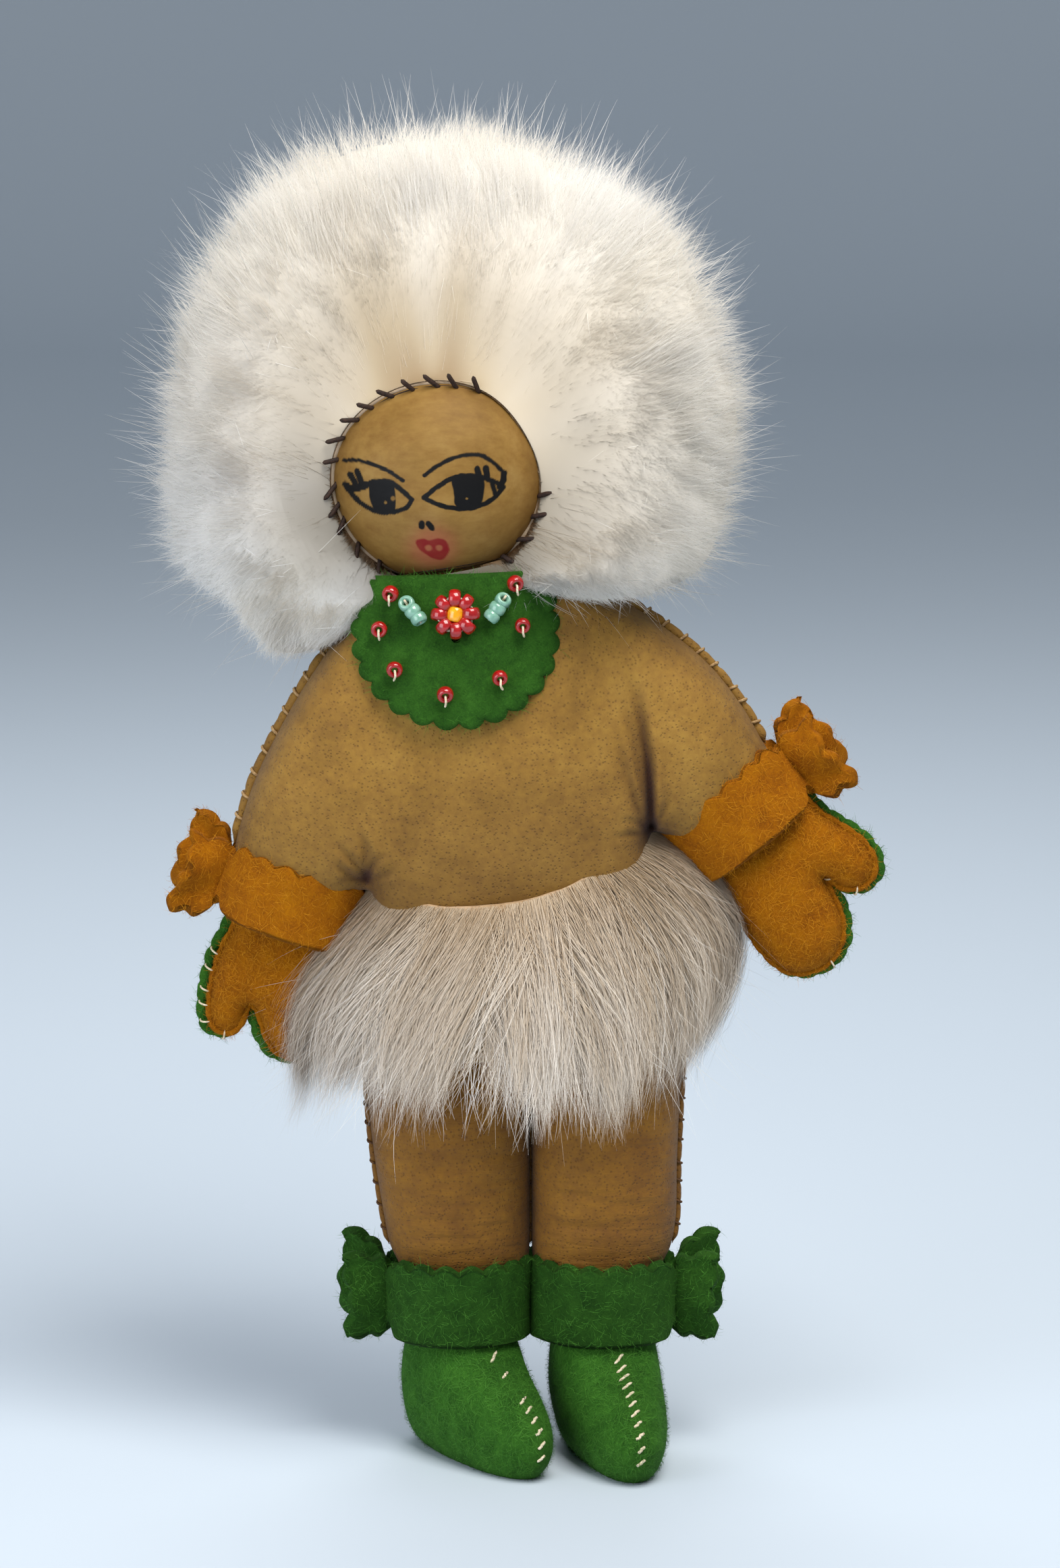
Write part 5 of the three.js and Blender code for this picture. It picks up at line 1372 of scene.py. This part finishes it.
# hairs in loose locks, drawn together toward their tips
def combLocks(spot, rootA, rootS, tipA, tipS, tipH, opts, rng):
    per, steps = opts["perLock"], opts["steps"]
    lock = np.repeat(np.arange(len(rootA)), per)
    n = len(lock)
    offA, offS = rng.normal(0, opts["spread"][0], n), rng.normal(0, opts["spread"][1], n)
    cut = rng.uniform(opts["short"], 1.04, n)
    gather = np.where(rng.random(n) < opts["loose"], 1.3, 1 - opts["gather"])
    wave = rng.uniform(0, 2 * math.pi, (2, n))
    deep = opts["deep"] * ease(0.02, 0.2, rootS[lock])
    lines, heights = np.zeros((n, steps, 3)), np.zeros((n, steps))
    for k, x in enumerate(np.linspace(0, 1, steps)):
        keep = 1 + (gather - 1) * x ** 1.3
        h = (deep + (1 - deep) * x) * cut * tipH[lock]
        a = rootA[lock] + (tipA - rootA)[lock] * x + offA * keep
        s = rootS[lock] + (tipS - rootS)[lock] * x * cut + offS * keep
        lines[:, k] = spot(a, np.clip(s, 0, 1), h)
        lines[:, k] += (opts["wave"] * x
            * (np.sin(wave[0] + 5 * x)[:, None] * across + np.sin(wave[1] + 4 * x)[:, None] * viewUp))
        heights[:, k] = h
    return lines, heights, lock


def hairPieces(name, lines, widths, outward, along, tone, material, parts, seed):
    order = np.random.default_rng(seed).permutation(len(lines)) % parts
    made = []
    for k in range(parts):
        keep = order == k
        pts, fcs, normals, tones = ribbons(lines[keep], widths[keep], outward[keep], tone[keep])
        made.append(makePiece(f"{name}{k + 1}" if parts > 1 else name, pts, fcs, material,
            {"along": np.repeat(along[keep].ravel(), 2), "tone": tones}, normals))
    return made


rng = np.random.default_rng(hoodFur["seed"])
count = hoodFur["locks"]
rootA = rng.uniform(0, 2 * math.pi, count * 2)
rootS = rng.beta(0.85, 1.35, count * 2)
underChin = (aroundBump(rootA, 270, 30) > math.exp(-1)) & (rootS < 0.6)
rootA, rootS = rootA[~underChin][:count], rootS[~underChin][:count]
tipS = np.clip(rootS + 0.15 * (1 - rootS) + 0.04 + 0.03 * rng.normal(size=count), 0.05, 1)
tipA = (rootA - 0.1 * np.cos(rootA) * ease(0.1, 0.6, rootS) + 0.07 * rng.normal(size=count)
    + 0.2 * roundNoise(rootA, rootS, 1.6, 25))
tipH = np.clip(0.97 + 0.03 * roundNoise(rootA, rootS, 0.9, 26) + 0.03 * rng.normal(size=count), 0.8, 1.12)
hairs, heights, lock = combLocks(hoodSpot, rootA, rootS, tipA, tipS, tipH, hoodFur, rng)
# the back is brushed down
hairs -= ((4.5 * ease(0.66, 0.95, rootS)[lock][:, None] * np.linspace(0, 1, hoodFur["steps"]) ** 1.2)[..., None]
    * viewUp)
# hairs near the face take more of the root's tan: partly the roots' own colour, partly painted shade in the hollow
# by the face
fromRim = ease(0, 0.24, rootS[lock] + 0.05 * roundNoise(rootA, 0 * rootS, 0.7, 42)[lock])
along = np.clip(heights, 0, 1) * (0.4 + 0.6 * fromRim)[:, None]
tone = np.clip(0.35 + 0.4 * roundNoise(rootA, rootS, 1.1, 27)[lock] + 0.35 * (rng.random(len(lock)) - 0.5)
    + 0.2 * (rng.random(count) - 0.5)[lock], 0, 1)
outward = unit(unit(hairs - hoodMiddle) + hoodFur["scatter"])
furs = hairPieces("hoodFur", hairs, hoodFur["width"] * rng.uniform(0.75, 1.25, len(lock)), outward, along, tone,
    hoodHair, 6, 34)
# guard hairs: straight, standing off the soft outline
count = hoodFur["guardHairs"]
a = rng.uniform(0, 2 * math.pi, count * 2)
s = np.clip(rng.normal(0.56, 0.17, count * 2), 0.27, 1)
out = (aroundBump(a, 268, 36) > math.exp(-1)) & (s < 0.6)
a, s = a[~out][:count], s[~out][:count]
foot = hoodSpot(a, s, np.full(count, 0.78))
head = hoodSpot(a + 0.05 * rng.normal(size=count), np.clip(s + 0.06 * rng.normal(size=count), 0, 1),
    np.full(count, 1.0))
way = unit(unit(head - foot) + 0.16 * rng.normal(size=(count, 3))
    + 0.25 * roundNoise(a, s, 0.5, 35)[:, None] * viewUp)
size = (np.linalg.norm(head - foot, axis=1)
    + np.where(rng.random(count) < 0.4, rng.uniform(3, 7.5, count), rng.uniform(-0.5, 3.5, count))
    * (1 - 0.8 * ease(0.6, 0.85, s)))
t = np.linspace(0, 1, 5)
bow = unit(np.cross(way, rng.normal(size=(count, 3)))) * (0.09 * size * rng.uniform(0, 1, count))[:, None]
guards = foot[:, None] + way[:, None] * (size[:, None] * t)[..., None] + bow[:, None] * (t ** 2)[None, :, None]
outward = unit(unit(guards - hoodMiddle) + hoodFur["scatter"])
along = np.broadcast_to(0.5 + 0.5 * t, (count, len(t)))
widths = np.full(count, hoodFur["guardWidth"])
furs += hairPieces("hoodGuardHair", guards, widths, outward, along, 0.5 * rng.random(count), hoodHair, 1, 36)
# dense underfur that the hairs stand in
turns, rings = 220, 90
A, S = np.tile(np.arange(turns) * 2 * math.pi / turns, rings), np.repeat(np.linspace(0, 1, rings), turns)
depth = (hoodFur["core"] - 0.14 * (1 - ease(0, 0.16, S)) + 0.03 * roundNoise(A, S, 0.9, 26)
    + 0.012 * roundNoise(A, S, 0.3, 37))
core = hoodSpot(A, S, depth * ease(-0.05, 0.05, S))
nearRim = 1 - ease(0, 0.34, S + 0.05 * roundNoise(A, 0 * S, 0.7, 42))
coreLook = {
    "along": 0.9 - 0.78 * np.maximum(aroundBump(A, 95, 52), 0.45) * nearRim,   # tan near the face, most at the top: partly the roots' colour, partly painted shade where the fur overhangs the face
    "tone": np.clip(0.4 + 0.4 * roundNoise(A, S, 1.1, 27), 0, 1),
}
outward = unit(unit(core - hoodMiddle) + hoodFur["scatter"])
furs.append(makePiece("hoodUnderfur", core, gridFaces(rings, turns, closed=True)[:, ::-1], shadedUnderfur, coreLook,
    outward))
for fur in furs:
    hook(fur, "head", "white_fur")
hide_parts("fur_hood")
print("hood fur combed:", len(lock) + count, "hairs")

# skirt: a band of long fur sewn round the waist, hanging over the tops of the legs and the mitten beside it
skirtFur = {
    "waistRise": 14.9,
    "half": (20.4, 12.3),
    "hem": 47.5,
    "hemHalf": (28, 17),
    "tufts": 66,
    "locks": 1500,
    "perLock": 26,
    "steps": 8,
    "width": 0.08,
    "guardHairs": 1300,
    "guardWidth": 0.08,
    "strays": 420,
    "strayWidth": 0.06,
    "seed": 28,
    "spread": (0.06, 0.05),
    "short": 0.6,
    "loose": 0.2,
    "gather": 0.8,
    "wave": 1.0,
    "deep": 0,
}


def skirtSpot(a, s, h):  # round the waist, root height (0 at the pelt's top edge), from skin (0) to tip (1)
    ca, sa = np.cos(a), np.sin(a)
    rise = skirtFur["waistRise"] + np.where(ca > 0, 5.4, 4.2) * ca ** 2 + 2.5 * np.maximum(sa, 0) - 11.5 * s
    waist = fromUpper(np.stack([skirtFur["half"][0] * ca, skirtFur["half"][1] * sa, rise], 1))
    hemX = hips[0] - 1.2 + skirtFur["hemHalf"][0] * np.where(ca < 0, 1.08, 0.78) * ca
    hemY = hips[1] + skirtFur["hemHalf"][1] * sa
    hem = np.stack([hemX, hemY, skirtFur["hem"] + 2.2 * (1 - s) + np.where(ca > 0, 3.5, 1.5) * ca ** 2], 1)
    bulge = (np.sin(np.clip(h, 0, 1) ** np.where(ca > 0, 0.72, 1) * math.pi)
        * (3.0 + np.where(ca > 0, 6.2, 1.2) * ca ** 2))
    away = np.stack([ca, sa * 0.8, 0 * ca], 1)
    return waist + (hem - waist) * h[:, None] + away * (bulge * (1 - 0.4 * s))[:, None]


rng = np.random.default_rng(skirtFur["seed"])
count = skirtFur["locks"]
rootA = rng.uniform(0, 2 * math.pi, count)
rootS = rng.beta(0.7, 1.1, count)
tuftA = np.sort(rng.uniform(0, 2 * math.pi, skirtFur["tufts"]))
tuftTurn, tuftLong = 0.15 * rng.normal(size=len(tuftA)), 0.07 * rng.normal(size=len(tuftA))
tuftFlare = rng.uniform(-0.6, 3.6, len(tuftA))
pickA = rootA + 0.1 * rng.normal(size=count)
tuft = np.abs((tuftA[None] - pickA[:, None] + math.pi) % (2 * math.pi) - math.pi).argmin(1)
toTuft = (tuftA[tuft] - rootA + math.pi) % (2 * math.pi) - math.pi
fan = 0.3 * np.cos(rootA) * ease(-0.2, 0.5, -np.sin(rootA))   # the front fur is brushed out to both sides
tipA = rootA + 0.74 * toTuft + tuftTurn[tuft] + 0.07 * rng.normal(size=count) + fan
tipH = np.clip(0.88 + 0.07 * rng.normal(size=count) + tuftLong[tuft] + 0.16 * np.maximum(-np.cos(rootA), 0) ** 2,
    0.6, 1.16)
hairs, heights, lock = combLocks(skirtSpot, rootA, rootS, tipA, rootS, tipH, skirtFur, rng)
t = np.linspace(0, 1, skirtFur["steps"])
flare = ((tuftFlare[tuft] * (1 - 0.7 * np.cos(rootA) ** 2) + 0.9 * rng.normal(size=count))[lock]
    * rng.uniform(0.55, 1.15, len(lock)))
away = np.stack([np.cos(tipA), 0.8 * np.sin(tipA), 0 * tipA], 1)[lock]
hairs += (flare[:, None] * np.sin(0.66 * math.pi * t))[..., None] * away[:, None]
lockTone = 0.5 * rng.random(count) + 0.5 * rng.random(len(tuftA))[tuft]
tone = np.clip(0.75 * lockTone[lock] + 0.35 * (rng.random(len(lock)) - 0.3), 0, 1)
g = skirtFur["guardHairs"]
a, s = rng.uniform(0, 2 * math.pi, g), rng.beta(0.9, 1.1, g)
reach = rng.uniform(0.7, 1.08, g)
turn = 0.2 * rng.normal(size=g) + 0.3 * np.cos(a) * ease(-0.2, 0.5, -np.sin(a))
guards = np.stack([skirtSpot(a + turn * x, s, reach * x) for x in t], 1)
guards += (rng.normal(size=(g, 1, 3)) * [1.6, 1.6, 0.8]) * (t ** 1.5)[None, :, None]
# fine stray hairs that stand out at both sides, over the mittens and cuffs
n = skirtFur["strays"]
a = np.where(rng.random(n) < 0.4, rng.uniform(-0.9, 0.4, n), math.pi + rng.uniform(-0.4, 1.0, n))
s, h = rng.beta(0.8, 1.1, n), rng.uniform(0.12, 0.8, n)
foot = skirtSpot(a, s, h)
away = np.stack([np.cos(a), 0.8 * np.sin(a), 0 * a], 1)
lean = unit(0.8 * unit(skirtSpot(a, s, h + 0.1) - foot) + rng.uniform(0.2, 1, n)[:, None] * away
    + 0.25 * rng.normal(size=(n, 3)))
bow = 0.22 * unit(np.cross(lean, rng.normal(size=(n, 3)))) - [0, 0, 0.08]
far = rng.uniform(4, 13, n)[:, None]
strays = np.stack([foot + far * (lean * x + bow * x * x) for x in t], 1)
hairs = np.concatenate([hairs, guards, strays])
along = np.concatenate([heights, reach[:, None] * t, np.broadcast_to(0.5 + 0.5 * t, (n, len(t)))])
tone = np.concatenate([tone, 0.25 * rng.random(g + n)])
widths = np.concatenate([skirtFur["width"] * rng.uniform(0.75, 1.3, len(lock)), np.full(g, skirtFur["guardWidth"]),
    np.full(n, skirtFur["strayWidth"])])
axis = np.array([hips[0], hips[1], 0])
outward = unit((hairs - axis) * [0.8, 1.2, 0] + [0, 0, 9])
isLeft = hairs[:, :, 0].mean(1) >= hips[0]
skirtBend = {side: [(jointPlace[side + "_hip"][0] * mm, hips[1] * mm, z * mm) for z in (70, 46)]
    for side in ("left", "right")}
for side in ("left", "right"):
    keep = isLeft == (side == "left")
    skirtLocks = hairPieces(side + "SkirtFur", hairs[keep], widths[keep], outward[keep], np.clip(along[keep], 0, 1),
        tone[keep], skirtHair, 2, 39)
    turns, rows = 90, np.linspace(0, 0.66, 40)
    a = np.linspace(-math.pi / 2, math.pi / 2, turns) + (0 if side == "left" else math.pi)
    middle = np.stack([skirtSpot(a, np.full(turns, 0.12 + 0.5 * h), np.full(turns, h)) for h in rows])
    middle -= unit((middle - axis) * [1, 1, 0]) * (0.9 + 2.4 * ease(0, 0.3, rows))[:, None, None]   # under the fur
    rumple = softNoise(middle.reshape(-1, 3) * [1, 1, 0.25], 2.2, 30).reshape(len(rows), turns, 1)
    middle += 0.5 * rumple * unit((middle - axis) * [1, 1, 0])
    normal = unit(np.cross(np.gradient(middle, axis=1), np.gradient(middle, axis=0)))
    pts, fcs = feltSheet(middle, normal, 1.0)
    # the pelt under the locks takes the hairs' root colour and darker tone: partly its own colour, partly painted
    # shade between the locks
    look = {"along": np.full(len(pts), 0.3),
        "tone": np.clip(0.75 + 0.4 * softNoise(pts * [1, 1, 0.2], 1.2, 40), 0, 1)}
    hide = makePiece(side + "SkirtPelt", pts, fcs, skirtHair, look)
    for piece in skirtLocks + [hide]:
        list(skirtBend[side])
        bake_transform(piece)
    if side == "left":
        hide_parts("fur_skirt")
    area = halfArea(pts, fcs)
    wide = np.linalg.norm(np.diff(middle, axis=1), axis=2).sum(1).max()
    tall = np.linalg.norm(np.diff(middle, axis=0), axis=2).sum(0).max()
    print(side, "skirt pelt", round(wide, 1), "x", round(tall, 1), "mm, area", round(area))
# the band's bare top edge
turns = 160
a = np.arange(turns) * 2 * math.pi / turns
top = skirtSpot(a, np.zeros(turns), np.zeros(turns))
up = fromUpper([(0, 0, 1.0)])[0] - fromUpper([(0, 0, 0.0)])[0]
away = unit((top - fromUpper([(0, 0, skirtFur["waistRise"])])[0]) * [1, 1, 0])
edgeProfile = ((-0.9, -1.2), (-0.5, 0.0), (-0.25, 0.12), (0.0, 0.0), (0.1, -1.4))   # outward, up
band = np.concatenate([top + away * o + up * u for o, u in edgeProfile])
band += 0.2 * softNoise(band, 2, 33)[:, None] * up
hook(makePiece("skirtPeltEdge", band, gridFaces(len(edgeProfile), turns, closed=True), pelt), "torso", "white_fur")
print("skirt fur combed:", len(hairs), "hairs")

# floor and backdrop in one pale sweep
sweep = {"width": 2600, "front": -1500, "back": 1300, "radius": 500, "height": 2200}
profile = [(sweep["front"], 0), (sweep["back"], 0)]
profile += [(sweep["back"] + sweep["radius"] * math.sin(t), sweep["radius"] * (1 - math.cos(t)))
    for t in np.linspace(0.1, math.pi / 2, 16)]
profile.append((sweep["back"] + sweep["radius"], sweep["height"]))
points = np.array([(x, y, z) for y, z in profile for x in (-sweep["width"], sweep["width"])])
material = Shader("paintedSweepPale").coat({"Base Color": "#C3CFDB", "Roughness": 0.6, "Specular IOR Level": 0.2})
makePiece("sweep", points, gridFaces(len(profile), 2)[:, ::-1], material)

# studio light: a broad soft key from the upper right, a wide fill from the left, a weak light from behind
lights = [
    ("key", (190, -330, 720), 460, 6.7, "#FFFBF5"),
    ("fill", (-460, -520, 220), 520, 3.1, "#F4F7FF"),
    ("back", (-60, 420, 520), 360, 1.4, "#FFFFFF"),
]
for name, spot, size, power, colour in lights:
    lamp = bpy.data.lights.new(name, "AREA")
    lamp.size = size * mm
    lamp.energy = power
    lamp.color = hexColour(colour)[:3]
    holder = bpy.data.objects.new(name, lamp)
    bpy.context.scene.collection.objects.link(holder)
    holder.location = Vector(spot) * mm
    holder.rotation_euler = (Vector(aim * mm) - holder.location).to_track_quat("-Z", "Y").to_euler()
world = bpy.data.worlds.new("paleRoom")
bpy.context.scene.world = world
world.use_nodes = True
world.node_tree.nodes["Background"].inputs[0].default_value = hexColour("#E8EDF2")
world.node_tree.nodes["Background"].inputs[1].default_value = 0.36
bpy.context.scene.view_settings.view_transform = "Standard"
bpy.context.scene.view_settings.look = "None"
print("stage and light set")
